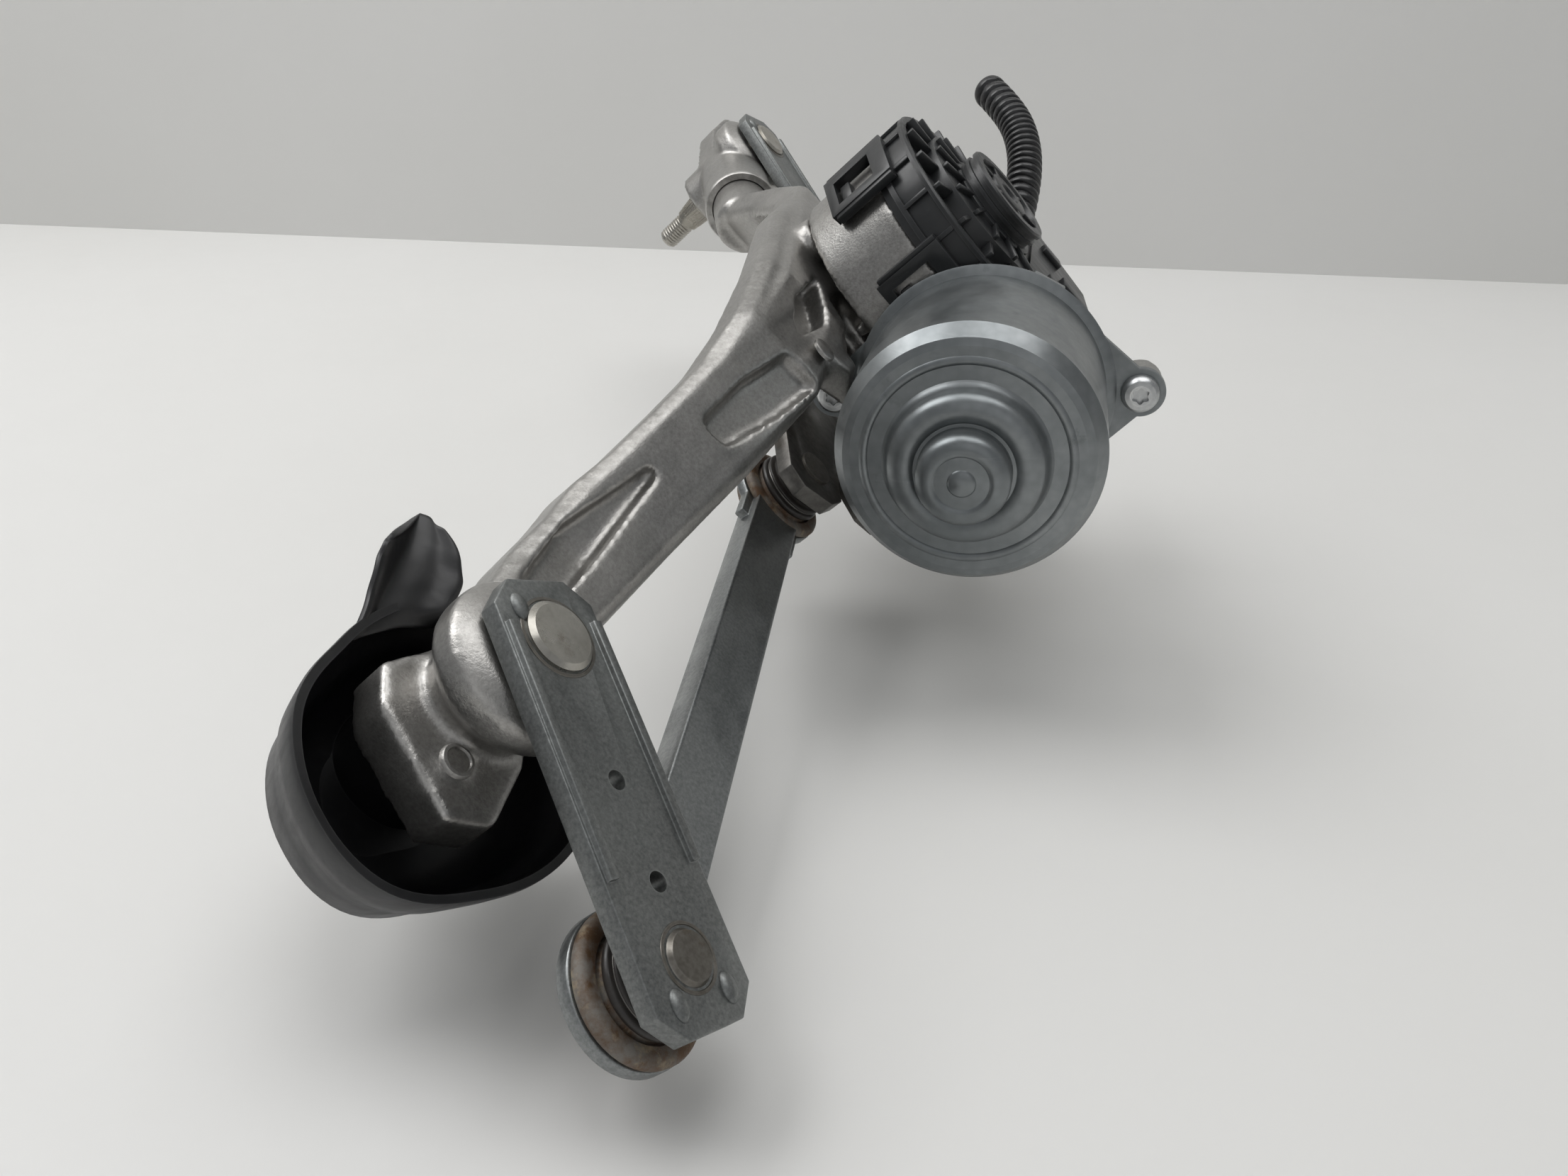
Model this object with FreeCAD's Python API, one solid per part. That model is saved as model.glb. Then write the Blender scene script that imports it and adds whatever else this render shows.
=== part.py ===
"""Two-spindle wiper linkage with its motor, lying as it rests on a bench.

The pieces are drawn in a linkage frame: x across, y along the frame from the
near spindle to the far one, z along the spindles towards the levers.  Each
finished solid is then leaned over and tipped into its rest pose.  Millimetres.
"""
import FreeCAD, Part
from FreeCAD import Vector, Placement, Rotation
import math
import os

# Rest pose on the bench, degrees
lean_deg = 47.0
rise_deg = 7.4

# Spindle axes and linkage
pivot_distance = 330.0
lever_length = 60.0
near_rest_deg = -45.0
far_rest_deg = -36.0
crank_length = 46.0
crank_near_deg = -74.0
crank_far_deg = -38.0
shaft_x = 38.0
shaft_y = 172.0

# Levers and crank plates
plate_thick = 4.0
lever_width = 24.0
lever_overhang = 12.0
lever_rib = 1.2
crank_thick = 5.0
tool_hole_r = 1.9

# Spindles and their housings
spindle_r = 6.0
bush_wall = 1.5
boss_r = 12.0
flare_r = 17.0
boss_length = 33.0
boss_gap = 1.0
thread_r = 4.0
thread_length = 13.0
cone_length = 9.0
cone_small_r = 4.8
head_r = 7.2
head_high = 1.4
clip_thick = 1.2

# Ball joints
ball_r = 6.5
ball_drop = 11.0
ball_neck_r = 4.0
ball_air = 0.3
socket_r = 12.0
socket_half = 7.0
boot_gap = 0.3
running = 0.05

# Links, folded steel channels
link_width = 15.0
link_high = 8.0
link_wall = 1.6

# Cast bracket
beam_width = 23.0
beam_high = 17.0
beam_wall = 3.0
mount_low = 24.0
mount_high = 34.0
ring_r = 17.0
spigot_r = 11.0
sleeve_wall = 2.2
sleeve_length = 44.0

# Third mounting eye, under the motor
leg_eye = (114.0, 184.0)
leg_level = 8.0
eye_r = 10.0
eye_hole_r = 4.2

# Motor and gear case
case_low = 40.0
case_r = 33.0
case_high = 24.0
case_wall = 3.0
nose_r = 11.0
nose_low = 8.0
shaft_r = 5.0
can_r = 32.0
can_length = 56.0
can_wall = 1.6
motor_deg = 80.0
motor_offset = 33.0
motor_level = 54.0
bolt_circle_r = 27.0
bolt_r = 3.0
cover_high = 11.0
wheel_teeth = 40
worm_r = 5.0
lobe_deg = 52.0
lobe_reach = 8.5

# Rain cup round the near spindle
cup_wall = 1.8
cup_depth = 25.0
cup_level = -50.0

# Conduit stub
conduit_r = 7.0
conduit_rib = 1.0
conduit_bore_r = 4.6
rib_pitch = 3.0


def v(x, y, z):
    """Point or direction in the linkage frame."""
    return Vector(x, y, z)


def polar(cx, cy, radius, deg):
    """Point at a radius and angle round a spindle axis."""
    turn = math.radians(deg)
    return cx + radius * math.cos(turn), cy + radius * math.sin(turn)


def cyl(x, y, low, high, radius):
    """Cylinder along the spindle direction."""
    return Part.makeCylinder(radius, high - low, v(x, y, low))


def prism(points, low, high):
    """Flat outline in x and y pushed up from low to high."""
    loop = [v(px, py, low) for px, py in points]
    wire = Part.makePolygon(loop + loop[:1])
    return Part.Face(wire).extrude(v(0, 0, high - low))


def turned(profile, x, y, base=0.0):
    """Solid of revolution from (radius, height) points round a spindle axis."""
    loop = [v(radius, 0, high) for radius, high in profile]
    wire = Part.makePolygon(loop + loop[:1])
    solid = Part.Face(wire).revolve(v(0, 0, 0), v(0, 0, 1), 360)
    solid.translate(v(x, y, base))
    return solid


def along(solid, start, heading):
    """Carry a solid drawn along +z so that it starts at a point and heads another way."""
    solid.Placement = Placement(start, Rotation(v(0, 0, 1), heading)).multiply(solid.Placement)
    return solid


def fuse(first, *others):
    """Join touching solids into one."""
    return first.multiFuse(list(others)).removeSplitter()


def rounded_section(centre, half_w, half_h, corner):
    """Eight-sided wire across the beam: half_w along x, half_h along z."""
    cx, cy, cz = centre
    a, b, c = half_w, half_h, corner
    ring = [(-a + c, -b), (a - c, -b), (a, -b + c), (a, b - c),
            (a - c, b), (-a + c, b), (-a, b - c), (-a, -b + c)]
    loop = [v(cx + px, cy, cz + pz) for px, pz in ring]
    return Part.makePolygon(loop + loop[:1])


def swept_beam(stations, corner):
    """Ruled body through (centre, half width, half height) stations."""
    wires = [rounded_section(c, hw, hh, corner) for c, hw, hh in stations]
    return Part.makeLoft(wires, True, True)


# Positions that follow from the driving sizes
near_ball = polar(0, 0, lever_length, near_rest_deg)
far_ball = polar(0, pivot_distance, lever_length, far_rest_deg)
crank_near = polar(shaft_x, shaft_y, crank_length, crank_near_deg)
crank_far = polar(shaft_x, shaft_y, crank_length, crank_far_deg)
bush_r = spindle_r + bush_wall
boss_low = -boss_gap - boss_length
low_ball_z = -ball_drop
high_ball_z = crank_thick + ball_drop - 1.0
case_top = case_low + case_high
motor_turn = math.radians(motor_deg)
motor_dir = v(math.cos(motor_turn), math.sin(motor_turn), 0)
motor_side = v(math.sin(motor_turn), -math.cos(motor_turn), 0)
worm_mid = v(shaft_x, shaft_y, motor_level) + motor_side * motor_offset
flange_at = worm_mid - motor_dir * (case_r + 1.0)


def boss_shell():
    """Spindle housing, a flared tube that carries its bush."""
    flare = boss_gap + 9.0
    return [(bush_r, boss_low), (boss_r, boss_low), (boss_r, -flare - 6.0), (flare_r, -flare),
            (flare_r, -boss_gap - 3.0), (boss_r + 1.0, -boss_gap), (bush_r, -boss_gap)]


def cast_bracket():
    """Cast frame: near housing, bowed beam, motor plate, strut and spigot."""
    half_w = beam_width / 2
    half_h = beam_high / 2
    stations = [(v(0, 6, -19), half_w, half_h), (v(1, 30, -17), half_w, half_h),
                (v(4, 54, -9), half_w - 1, half_h), (v(9, 84, 8), half_w - 1, half_h - 1),
                (v(14, 112, 23), half_w, half_h - 1), (v(18, 136, 30), half_w + 3, half_h - 2),
                (v(15, 176, 30), half_w + 1, half_h - 2), (v(13, 212, 27), half_w - 1, half_h - 1),
                (v(12, 244, 12), half_w - 2, half_h - 1), (v(9, 272, -8), half_w - 2, half_h - 1)]
    beam = swept_beam([((c.x, c.y, c.z), hw, hh) for c, hw, hh in stations], 2.5)
    drop = beam_high / 2 - 3.5
    trough = swept_beam([((c.x, c.y, c.z - hh - drop / 2), hw - beam_wall, hh - drop / 2 + 2)
                         for c, hw, hh in stations[1:5]], 2.0)
    inner = swept_beam([((c.x, c.y, c.z - hh - drop / 2), hw - beam_wall, hh - drop / 2 + 2)
                        for c, hw, hh in stations[6:9]], 2.0)
    beam = beam.cut(trough).cut(inner)

    plate = prism([(10, 126), (30, 122), (56, 134), (70, 158), (66, 188), (44, 208), (20, 214)],
                  mount_low, mount_high)
    ring = cyl(shaft_x, shaft_y, mount_low - 1, mount_high + 2, ring_r)
    body = fuse(beam, plate, ring)
    for deg in (-50, 70, 190):
        bx, by = polar(shaft_x, shaft_y, bolt_circle_r, deg)
        body = body.fuse(cyl(bx, by, mount_low, case_low, bolt_r + 4.0))
    strut = third_leg()
    body = fuse(body, strut)

    for low_deg, high_deg in ((-38, 42), (98, 158), (-136, -78)):
        pocket = [polar(shaft_x, shaft_y, 21, low_deg + 8), polar(shaft_x, shaft_y, 21, high_deg - 8),
                  polar(shaft_x, shaft_y, 31, high_deg - 12), polar(shaft_x, shaft_y, 33, (low_deg + high_deg) / 2),
                  polar(shaft_x, shaft_y, 31, low_deg + 12)]
        body = body.cut(prism(pocket, mount_high - 6.0, mount_high + 8.0))
    scoop = swept_beam([((10, 98, 24), 5, 4), ((16, 118, 35), 6, 5), ((19, 132, 40), 5, 5)], 1.5)
    body = body.cut(scoop)

    boss = turned(boss_shell(), 0, 0)
    foot = prism([(-11, 6), (-19, -6), (-15, -15), (4, -27), (13, -22), (14, -6), (10, 6)], -31, -20)
    foot = foot.fuse(cyl(1, -16, -20.5, -19, 3.4))
    near_end = fuse(boss, foot)
    body = body.fuse(near_end)

    axis = spigot_heading()
    spigot = along(Part.makeCylinder(spigot_r, 30), spigot_start(), axis)
    body = body.fuse(spigot)
    body = body.cut(cyl(0, 0, boss_low - 1, 1, bush_r))
    body = body.cut(cyl(shaft_x, shaft_y, mount_low - 3, case_low, nose_r + 0.4))
    for deg in (-50, 70, 190):
        bx, by = polar(shaft_x, shaft_y, bolt_circle_r, deg)
        body = body.cut(cyl(bx, by, mount_low - 3, case_low + 1, bolt_r + 0.2))
        body = body.cut(cyl(bx, by, -10, mount_low, bolt_r + 3.5))
    keep_out = cyl(0, 0, -boss_gap, 30, lever_length * 0.6)
    return body.removeSplitter().cut(keep_out).cut(motor_room())


def motor_room():
    """Space that the bracket leaves free for the can, its flange and its screws."""
    room = Part.makeCylinder(can_r + 2.6, can_length + 26, v(0, 0, -10))
    for deg in (lobe_deg, lobe_deg + 180):
        lx, ly = polar(0, 0, can_r + lobe_reach, deg)
        room = room.fuse(Part.makeCylinder(7.5, 16, v(lx, ly, -10)))
        mid = Part.makeBox(lobe_reach + 8, 15, 16, v(can_r - 8, -7.5, -10))
        wide = Part.makeBox(14, 38, 16, v(can_r - 9, -19, -10))
        for block in (mid, wide):
            block.rotate(v(0, 0, 0), v(0, 0, 1), deg)
            room = room.fuse(block)
    return seat_on_flange(room)


def third_leg():
    """Leg that reaches out under the motor to the third mounting eye."""
    stations = [((64, 158), 29, 5.0), ((84, 158), 28.5, 4.6), ((98, 168), 19, 4.2), ((108, 180), 9, 4.0)]
    wires = []
    for (px, py), level, half in stations:
        ring = [v(px - 4, py - 9, level - half), v(px + 4, py + 9, level - half),
                v(px + 4, py + 9, level + half), v(px - 4, py - 9, level + half)]
        wires.append(Part.makePolygon(ring + ring[:1]))
    leg = Part.makeLoft(wires, True, True)
    eye = cyl(leg_eye[0], leg_eye[1], leg_level - 5, leg_level + 5, eye_r)
    return leg.fuse(eye).removeSplitter().cut(cyl(leg_eye[0], leg_eye[1], -40, 60, eye_hole_r))


def spigot_start():
    """Where the round spigot leaves the cast neck."""
    return v(9, 268, -7)


def spigot_heading():
    """Direction from the neck to the far housing."""
    to_far = v(0, pivot_distance, boss_low / 2) - spigot_start()
    return to_far.normalize()


def far_housing():
    """Cast housing with its sleeve over the spigot and an open mounting ear."""
    axis = spigot_heading()
    centre = v(0, pivot_distance, boss_low / 2)
    boss = turned(boss_shell(), 0, pivot_distance)
    sleeve = along(Part.makeCylinder(spigot_r + sleeve_wall, sleeve_length), centre - axis * sleeve_length, axis)
    ear = prism([(-12, 326), (-17, 352), (-15, 376), (-9, 386), (-5, 386), (-5, 372),
                 (5, 372), (5, 386), (10, 386), (16, 374), (17, 350), (12, 326)], -25, -16)
    rib = prism([(-2, 336), (-2, 366), (2, 366), (2, 336)], -17, -9)
    body = fuse(boss, sleeve, ear, rib)
    bore = along(Part.makeCylinder(spigot_r, sleeve_length), centre - axis * (sleeve_length + 1), axis)
    solid_core = cyl(0, pivot_distance, boss_low, -boss_gap, boss_r)
    body = body.cut(bore.cut(solid_core)).cut(cyl(0, pivot_distance, boss_low - 1, 1, bush_r))
    return body.removeSplitter()


def pivot_bush(y):
    """Sintered bush pressed into a housing."""
    return turned([(spindle_r + running, boss_low), (bush_r, boss_low),
                   (bush_r, -boss_gap), (spindle_r + running, -boss_gap)], 0, y)


def spindle(y):
    """Wiper spindle: riveted head, journal, cone for the arm and a threaded end."""
    cone_top = boss_low - clip_thick - 0.8
    cone_low = cone_top - cone_length
    end = cone_low - thread_length
    groove = boss_low - clip_thick
    rings = [(0, plate_thick + head_high), (head_r - 1, plate_thick + head_high),
             (head_r, plate_thick + 0.6), (head_r, plate_thick), (spindle_r - 0.5, plate_thick),
             (spindle_r - 0.5, 0), (spindle_r, 0), (spindle_r, boss_low), (spindle_r - 0.8, boss_low),
             (spindle_r - 0.8, groove), (spindle_r - 0.2, groove), (spindle_r - 0.2, cone_top),
             (cone_small_r, cone_low), (thread_r, cone_low), (thread_r, end + 1), (thread_r - 1, end), (0, end)]
    return turned(rings, 0, y)


def retaining_clip(y):
    """Spring clip that holds the spindle in its housing."""
    low = boss_low - clip_thick + 0.1
    return turned([(spindle_r - 0.8, low), (spindle_r + 3, low), (spindle_r + 3, boss_low - 0.1),
                   (spindle_r - 0.8, boss_low - 0.1)], 0, y)


def bar_outline(length, width, back, front):
    """Lever outline with clipped corners, along +x from its pivot."""
    clip = 5.0
    half = width / 2
    return [(-back, -half + clip), (-back + clip, -half), (length + front - clip, -half),
            (length + front, -half + clip), (length + front, half - clip),
            (length + front - clip, half), (-back + clip, half), (-back, half - clip)]


def lever(y, rest_deg):
    """Pressed lever plate with raised side beads and two tooling holes."""
    body = prism(bar_outline(lever_length, lever_width, lever_overhang, lever_overhang), 0, plate_thick)
    for side in (-1, 1):
        edge = side * (lever_width / 2 - 1.6)
        bead = Part.makeBox(lever_length - 12, 2.0, lever_rib, v(-3, edge - 1.0, plate_thick))
        body = body.fuse(bead)
    body = body.cut(Part.makeCylinder(spindle_r - 0.5, plate_thick + 2, v(0, 0, -1)))
    body = body.cut(Part.makeCylinder(ball_neck_r, plate_thick + 2, v(lever_length, 0, -1)))
    for share in (0.47, 0.78):
        body = body.cut(Part.makeCylinder(tool_hole_r, plate_thick + 2, v(lever_length * share, 0, -1)))
    body = body.removeSplitter()
    body.rotate(v(0, 0, 0), v(0, 0, 1), rest_deg)
    body.translate(v(0, y, 0))
    return body


def ball_stud(place, low_side, thick):
    """Ball stud riveted through a plate that spans 0 to thick."""
    shank = Part.makeCylinder(ball_neck_r, thick, v(0, 0, 0))
    head = turned([(0, thick), (5.0, thick), (4.4, thick + 0.9), (0, thick + 0.9)], 0, 0)
    neck = Part.makeCylinder(ball_neck_r, ball_drop, v(0, 0, -ball_drop))
    ball = Part.makeSphere(ball_r, v(0, 0, -ball_drop))
    stud = fuse(shank, head, neck, ball)
    if not low_side:
        stud.rotate(v(0, 0, thick / 2), v(1, 0, 0), 180)
    stud.translate(v(place[0], place[1], 0))
    return stud


def loose_ball(place, level, plate_face):
    """Crank ball and neck, kept in its socket; the neck stops just short of the plate."""
    up = plate_face > level
    end = plate_face - boot_gap if up else plate_face + boot_gap
    low, high = (level, end) if up else (end, level)
    ball = Part.makeSphere(ball_r, v(place[0], place[1], level))
    return ball.fuse(cyl(place[0], place[1], low, high, ball_neck_r)).removeSplitter()


def socket_cup(place, level, opens_up):
    """Moulded socket cup, domed on its closed side."""
    turn = 1 if opens_up else -1
    half = socket_half
    rings = [(0, -half), (7.0, -half), (10.4, -half + 2.4), (socket_r, -1.5), (socket_r, 3.0),
             (10.0, 3.0), (9.0, 5.0), (0, 5.0)]
    cup = turned(rings, 0, 0)
    hollow = Part.makeSphere(ball_r + ball_air, v(0, 0, 0))
    mouth = Part.makeCylinder(ball_neck_r + 1.6, 12, v(0, 0, 0))
    cup = cup.cut(hollow).cut(mouth)
    if turn < 0:
        cup.rotate(v(0, 0, 0), v(1, 0, 0), 180)
    cup.translate(v(place[0], place[1], level))
    return cup


def dust_boot(place, level, plate_face):
    """Ribbed rubber boot between a socket and its plate."""
    up = plate_face > level
    reach = abs(plate_face - level) - boot_gap
    inner = ball_neck_r + 0.4
    rings = [(9.2, 5.0), (10.8, 5.6), (10.8, 6.8), (9.4, 7.3), (9.4, 7.8), (10.4, 8.3),
             (9.4, reach), (inner, reach), (inner, reach - 1.4), (7.6, reach - 2.4), (7.6, 5.0)]
    boot = turned(rings, 0, 0)
    if not up:
        boot.rotate(v(0, 0, 0), v(1, 0, 0), 180)
    boot.translate(v(place[0], place[1], level))
    return boot


def link_rod(start, end, level, open_up):
    """Folded channel between two socket cups, with eyes pressed round them."""
    run = v(end[0] - start[0], end[1] - start[1], 0)
    length = run.Length
    half = link_width / 2
    low, high = -link_high / 2, link_high / 2
    eye_r = socket_r + 2.2
    body = Part.makeBox(length, link_width, link_high, v(0, -half, low))
    hollow_low = low + link_wall if open_up else low - 1
    hollow = Part.makeBox(length - 56, link_width - 2 * link_wall, link_high + 1 - link_wall,
                          v(28, -half + link_wall, hollow_low))
    body = body.cut(hollow)
    eye_low, eye_high = (-1.5, 1.5) if open_up else (-1.5, 1.5)
    for px in (0, length):
        body = body.fuse(Part.makeCylinder(eye_r, eye_high - eye_low, v(px, 0, eye_low)))
        flare = Part.makeBox(22, 20, 3, v(px - 11 + (9 if px == 0 else -9), -10, -1.5))
        body = body.fuse(flare)
    for px in (0, length):
        body = body.cut(Part.makeCylinder(socket_r, link_high + 8, v(px, 0, low - 4)))
    body = body.removeSplitter()
    body.rotate(v(0, 0, 0), v(0, 0, 1), math.degrees(math.atan2(run.y, run.x)))
    body.translate(v(start[0], start[1], level))
    return body


def crank_plate():
    """Forged crank with two arms, one for each link."""
    hub = Part.makeCylinder(12.5, crank_thick, v(0, 0, 0))
    body = hub
    for deg in (crank_near_deg, crank_far_deg):
        arm = prism(bar_outline(crank_length, 21, 6, 11), 0, crank_thick)
        arm.rotate(v(0, 0, 0), v(0, 0, 1), deg)
        body = body.fuse(arm)
    body.translate(v(shaft_x, shaft_y, 0))
    body = body.cut(cyl(shaft_x, shaft_y, -1, crank_thick + 1, shaft_r))
    for px, py in (crank_near, crank_far):
        body = body.cut(cyl(px, py, -1, crank_thick + 1, ball_neck_r))
    return body.removeSplitter()


def crank_rivets():
    """Riveted ends of the two crank studs, flush on the ball side."""
    near = cyl(crank_near[0], crank_near[1], 0, crank_thick, ball_neck_r)
    near = near.fuse(cyl(crank_near[0], crank_near[1], crank_thick, crank_thick + 0.8, 5.2))
    far = cyl(crank_far[0], crank_far[1], 0, crank_thick, ball_neck_r)
    far = far.fuse(cyl(crank_far[0], crank_far[1], -0.8, 0, 5.2))
    return Part.makeCompound([near.removeSplitter(), far.removeSplitter()])


def output_shaft():
    """Motor output shaft from the worm wheel to the crank nut."""
    return turned([(0, -5.5), (shaft_r - 1.2, -5.5), (shaft_r - 0.8, -5), (shaft_r - 0.8, 0), (shaft_r, 0),
                   (shaft_r, case_low + case_wall + 8), (0, case_low + case_wall + 8)], shaft_x, shaft_y)


def crank_nut():
    """Hexagon nut under the crank."""
    corners = [polar(shaft_x, shaft_y, 8.0, 60 * n) for n in range(6)]
    return prism(corners, -5.0, 0).cut(cyl(shaft_x, shaft_y, -6, 1, shaft_r - 0.8))


def worm_wheel():
    """Moulded worm wheel on the output shaft."""
    count = wheel_teeth
    outer = motor_offset - worm_r - 0.3
    rim = []
    for n in range(count):
        for share, radius in ((0.0, outer - 1.6), (0.3, outer), (0.6, outer), (0.9, outer - 1.6)):
            rim.append(polar(shaft_x, shaft_y, radius, (n + share) * 360.0 / count))
    low = case_low + case_wall + 0.5
    wheel = prism(rim, low, low + 7.0)
    return wheel.cut(cyl(shaft_x, shaft_y, low - 1, low + 8, shaft_r))


def gear_case():
    """Die-cast gear case: round wheel box, worm tunnel and shaft nose."""
    box = cyl(shaft_x, shaft_y, case_low, case_top, case_r)
    nose = cyl(shaft_x, shaft_y, nose_low, case_low + 1, nose_r)
    shoulder = turned([(nose_r, case_low - 3.5), (nose_r + 4, case_low), (nose_r, case_low)], shaft_x, shaft_y)
    tunnel = along(Part.makeCylinder(13.0, 2 * case_r + 2), flange_at, motor_dir)
    pad = along(Part.makeCylinder(can_r - 3.0, 9.0), flange_at, motor_dir)
    body = fuse(box, nose, shoulder, tunnel, pad)
    for deg in (20, 140, 260):
        rib = Part.makeBox(case_r - nose_r - 2, 3.0, 3.5, v(nose_r, -1.5, case_low - 3.5))
        rib.rotate(v(0, 0, 0), v(0, 0, 1), deg)
        rib.translate(v(shaft_x, shaft_y, 0))
        body = body.fuse(rib)
    body = body.cut(cyl(shaft_x, shaft_y, case_low + case_wall, case_top + 30, case_r - case_wall))
    worm = along(Part.makeCylinder(6.0, case_r * 2 - 2), flange_at - motor_dir, motor_dir)
    body = body.cut(worm).cut(cyl(shaft_x, shaft_y, nose_low - 1, case_top, shaft_r + 1.5))
    for deg in (-50, 70, 190):
        bx, by = polar(shaft_x, shaft_y, bolt_circle_r, deg)
        body = body.cut(cyl(bx, by, case_low - 1, case_low + case_wall - 1, bolt_r))
    return body.removeSplitter()


def output_bush():
    """Bronze bush inside the shaft nose."""
    return turned([(shaft_r + running, nose_low), (shaft_r + 1.5, nose_low),
                   (shaft_r + 1.5, case_low + case_wall), (shaft_r + running, case_low + case_wall)],
                  shaft_x, shaft_y)


def case_cover():
    """Plastic lid on the gear case with a raised connector block."""
    lid = cyl(shaft_x, shaft_y, case_top, case_top + cover_high, case_r + 1.0)
    step = cyl(shaft_x, shaft_y, case_top + cover_high, case_top + cover_high + 4, case_r - 8)
    side = prism([(52, 150), (86, 156), (84, 196), (60, 204)], case_top, case_top + cover_high + 5)
    block = prism([(44, 190), (74, 190), (70, 214), (48, 214)], case_top - 4, case_top + 14)
    block = block.cut(cyl(shaft_x, shaft_y, case_top - 6, case_top, case_r + 0.2))
    body = fuse(lid, step, side, block)
    return body.removeSplitter()


def cover_clips():
    """Moulded latch frames that hook the lid over the case."""
    frames = []
    for deg in (200, 262, 110):
        frame = Part.makeBox(3.2, 16, 20, v(case_r + 0.3, -8, case_top - 14))
        window = Part.makeBox(6, 10, 12, v(case_r - 1, -5, case_top - 11))
        latch = frame.cut(window)
        latch.rotate(v(0, 0, 0), v(0, 0, 1), deg)
        latch.translate(v(shaft_x, shaft_y, 0))
        latch = latch.cut(cyl(shaft_x, shaft_y, case_top, case_top + cover_high, case_r + 1.0))
        frames.append(latch)
    return Part.makeCompound(frames)


def motor_can():
    """Drawn steel can with a stepped bearing cup and a bolting flange."""
    wall = can_wall
    length = can_length
    outer = [(can_r + 2, 0), (can_r + 2, wall), (can_r, wall + 1.4), (can_r, length - 8),
             (can_r - 2.6, length - 4), (can_r - 4.4, length - 3.4), (can_r - 14, length - 3.0),
             (can_r - 15, length + 1.0), (can_r - 17, length + 2.6), (11.0, length + 3.0),
             (10.0, length + 8.4), (8.6, length + 9.4), (0, length + 9.8)]
    inner = [(0, length + 8), (8.0, length + 7.6), (8.6, length + 1.4), (can_r - 17, length + 0.8),
             (can_r - 17, length - 4.6), (can_r - 5, length - 5.4), (can_r - 1.6, length - 9), (can_r - 1.6, 0)]
    can = turned(outer + inner, 0, 0)
    lobes = []
    for deg in (lobe_deg, lobe_deg + 180):
        lx, ly = polar(0, 0, can_r + lobe_reach, deg)
        lobe = Part.makeCylinder(6.5, wall + 0.4, v(lx, ly, 0))
        sx, sy = polar(0, 0, can_r, deg + 42)
        tx, ty = polar(0, 0, can_r, deg - 42)
        side_x, side_y = polar(0, 0, 6.0, deg + 90)
        loop = [v(sx, sy, 0), v(lx + side_x, ly + side_y, 0), v(lx - side_x, ly - side_y, 0), v(tx, ty, 0)]
        web = Part.Face(Part.makePolygon(loop + loop[:1])).extrude(v(0, 0, wall + 0.4))
        lobe = lobe.fuse(web).cut(Part.makeCylinder(can_r - 1.2, 6, v(0, 0, -1)))
        lobes.append(lobe.cut(Part.makeCylinder(2.6, 6, v(lx, ly, -1))))
    can = can.multiFuse(lobes).removeSplitter()
    return seat_on_flange(can)


def seat_on_flange(solid):
    """Place a motor piece drawn along +z so that it runs away from the gear case."""
    heading = motor_dir * -1
    frame = Placement(flange_at, Rotation(motor_side, v(0, 0, 1), heading, "ZYX"))
    solid.Placement = frame.multiply(solid.Placement)
    return solid


def can_screws():
    """Two pan-head screws through the can flange into the gear case."""
    screws = []
    for deg in (lobe_deg, lobe_deg + 180):
        lx, ly = polar(0, 0, can_r + lobe_reach, deg)
        shank = Part.makeCylinder(2.5, 8.0, v(lx, ly, -6))
        head = turned([(0, can_wall + 0.4), (5.0, can_wall + 0.4), (4.6, can_wall + 3.0),
                       (2.4, can_wall + 3.4), (2.4, can_wall + 1.6), (0, can_wall + 1.6)], lx, ly)
        screws.append(shank.fuse(head).removeSplitter())
    return seat_on_flange(Part.makeCompound(screws))


def flange_bosses():
    """Cast ears on the gear case that take the can screws."""
    ears = []
    for deg in (lobe_deg, lobe_deg + 180):
        lx, ly = polar(0, 0, can_r + lobe_reach, deg)
        ear = Part.makeCylinder(6.0, 9.0, v(lx, ly, -9))
        ix, iy = polar(0, 0, can_r - 8, deg)
        web = Part.makeCylinder(6.0, 9.0, v(ix, iy, -9))
        mid = Part.makeBox(lobe_reach + 8, 9, 9, v(can_r - 8, -4.5, -9))
        mid.rotate(v(0, 0, 0), v(0, 0, 1), deg)
        ears.append(fuse(ear, web, mid).cut(Part.makeCylinder(2.5, 12, v(lx, ly, -7))))
    return [seat_on_flange(ear) for ear in ears]


def armature():
    """Motor armature on its worm shaft."""
    core = Part.makeCylinder(19.0, 30.0, v(0, 0, 12))
    shaft = Part.makeCylinder(3.0, can_length + 2 + 2 * case_r - 4, v(0, 0, -2 * case_r + 4))
    worm = Part.makeCylinder(worm_r, 26.0, v(0, 0, -case_r - 13))
    commutator = Part.makeCylinder(8.0, 8.0, v(0, 0, 3))
    body = fuse(core, shaft, worm, commutator)
    return seat_on_flange(body)


def magnets():
    """Two magnet shells glued inside the can."""
    shells = []
    for turn in (0, 180):
        shell = Part.makeCylinder(can_r - 1.7, 34, v(0, 0, 9), v(0, 0, 1), 130)
        shell = shell.cut(Part.makeCylinder(can_r - 8, 36, v(0, 0, 8)))
        shell.rotate(v(0, 0, 0), v(0, 0, 1), turn + 30)
        shells.append(shell)
    return seat_on_flange(Part.makeCompound(shells))


def mount_bolts():
    """Three bolts that hold the gear case to the bracket, heads below."""
    bolts = []
    for deg in (-50, 70, 190):
        bx, by = polar(shaft_x, shaft_y, bolt_circle_r, deg)
        shank = cyl(bx, by, mount_low, case_low + case_wall - 1, bolt_r)
        head = prism([polar(bx, by, 5.0, 60 * n) for n in range(6)], mount_low - 1.4, mount_low)
        bolts.append(shank.fuse(head).removeSplitter())
    return Part.makeCompound(bolts)


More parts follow.
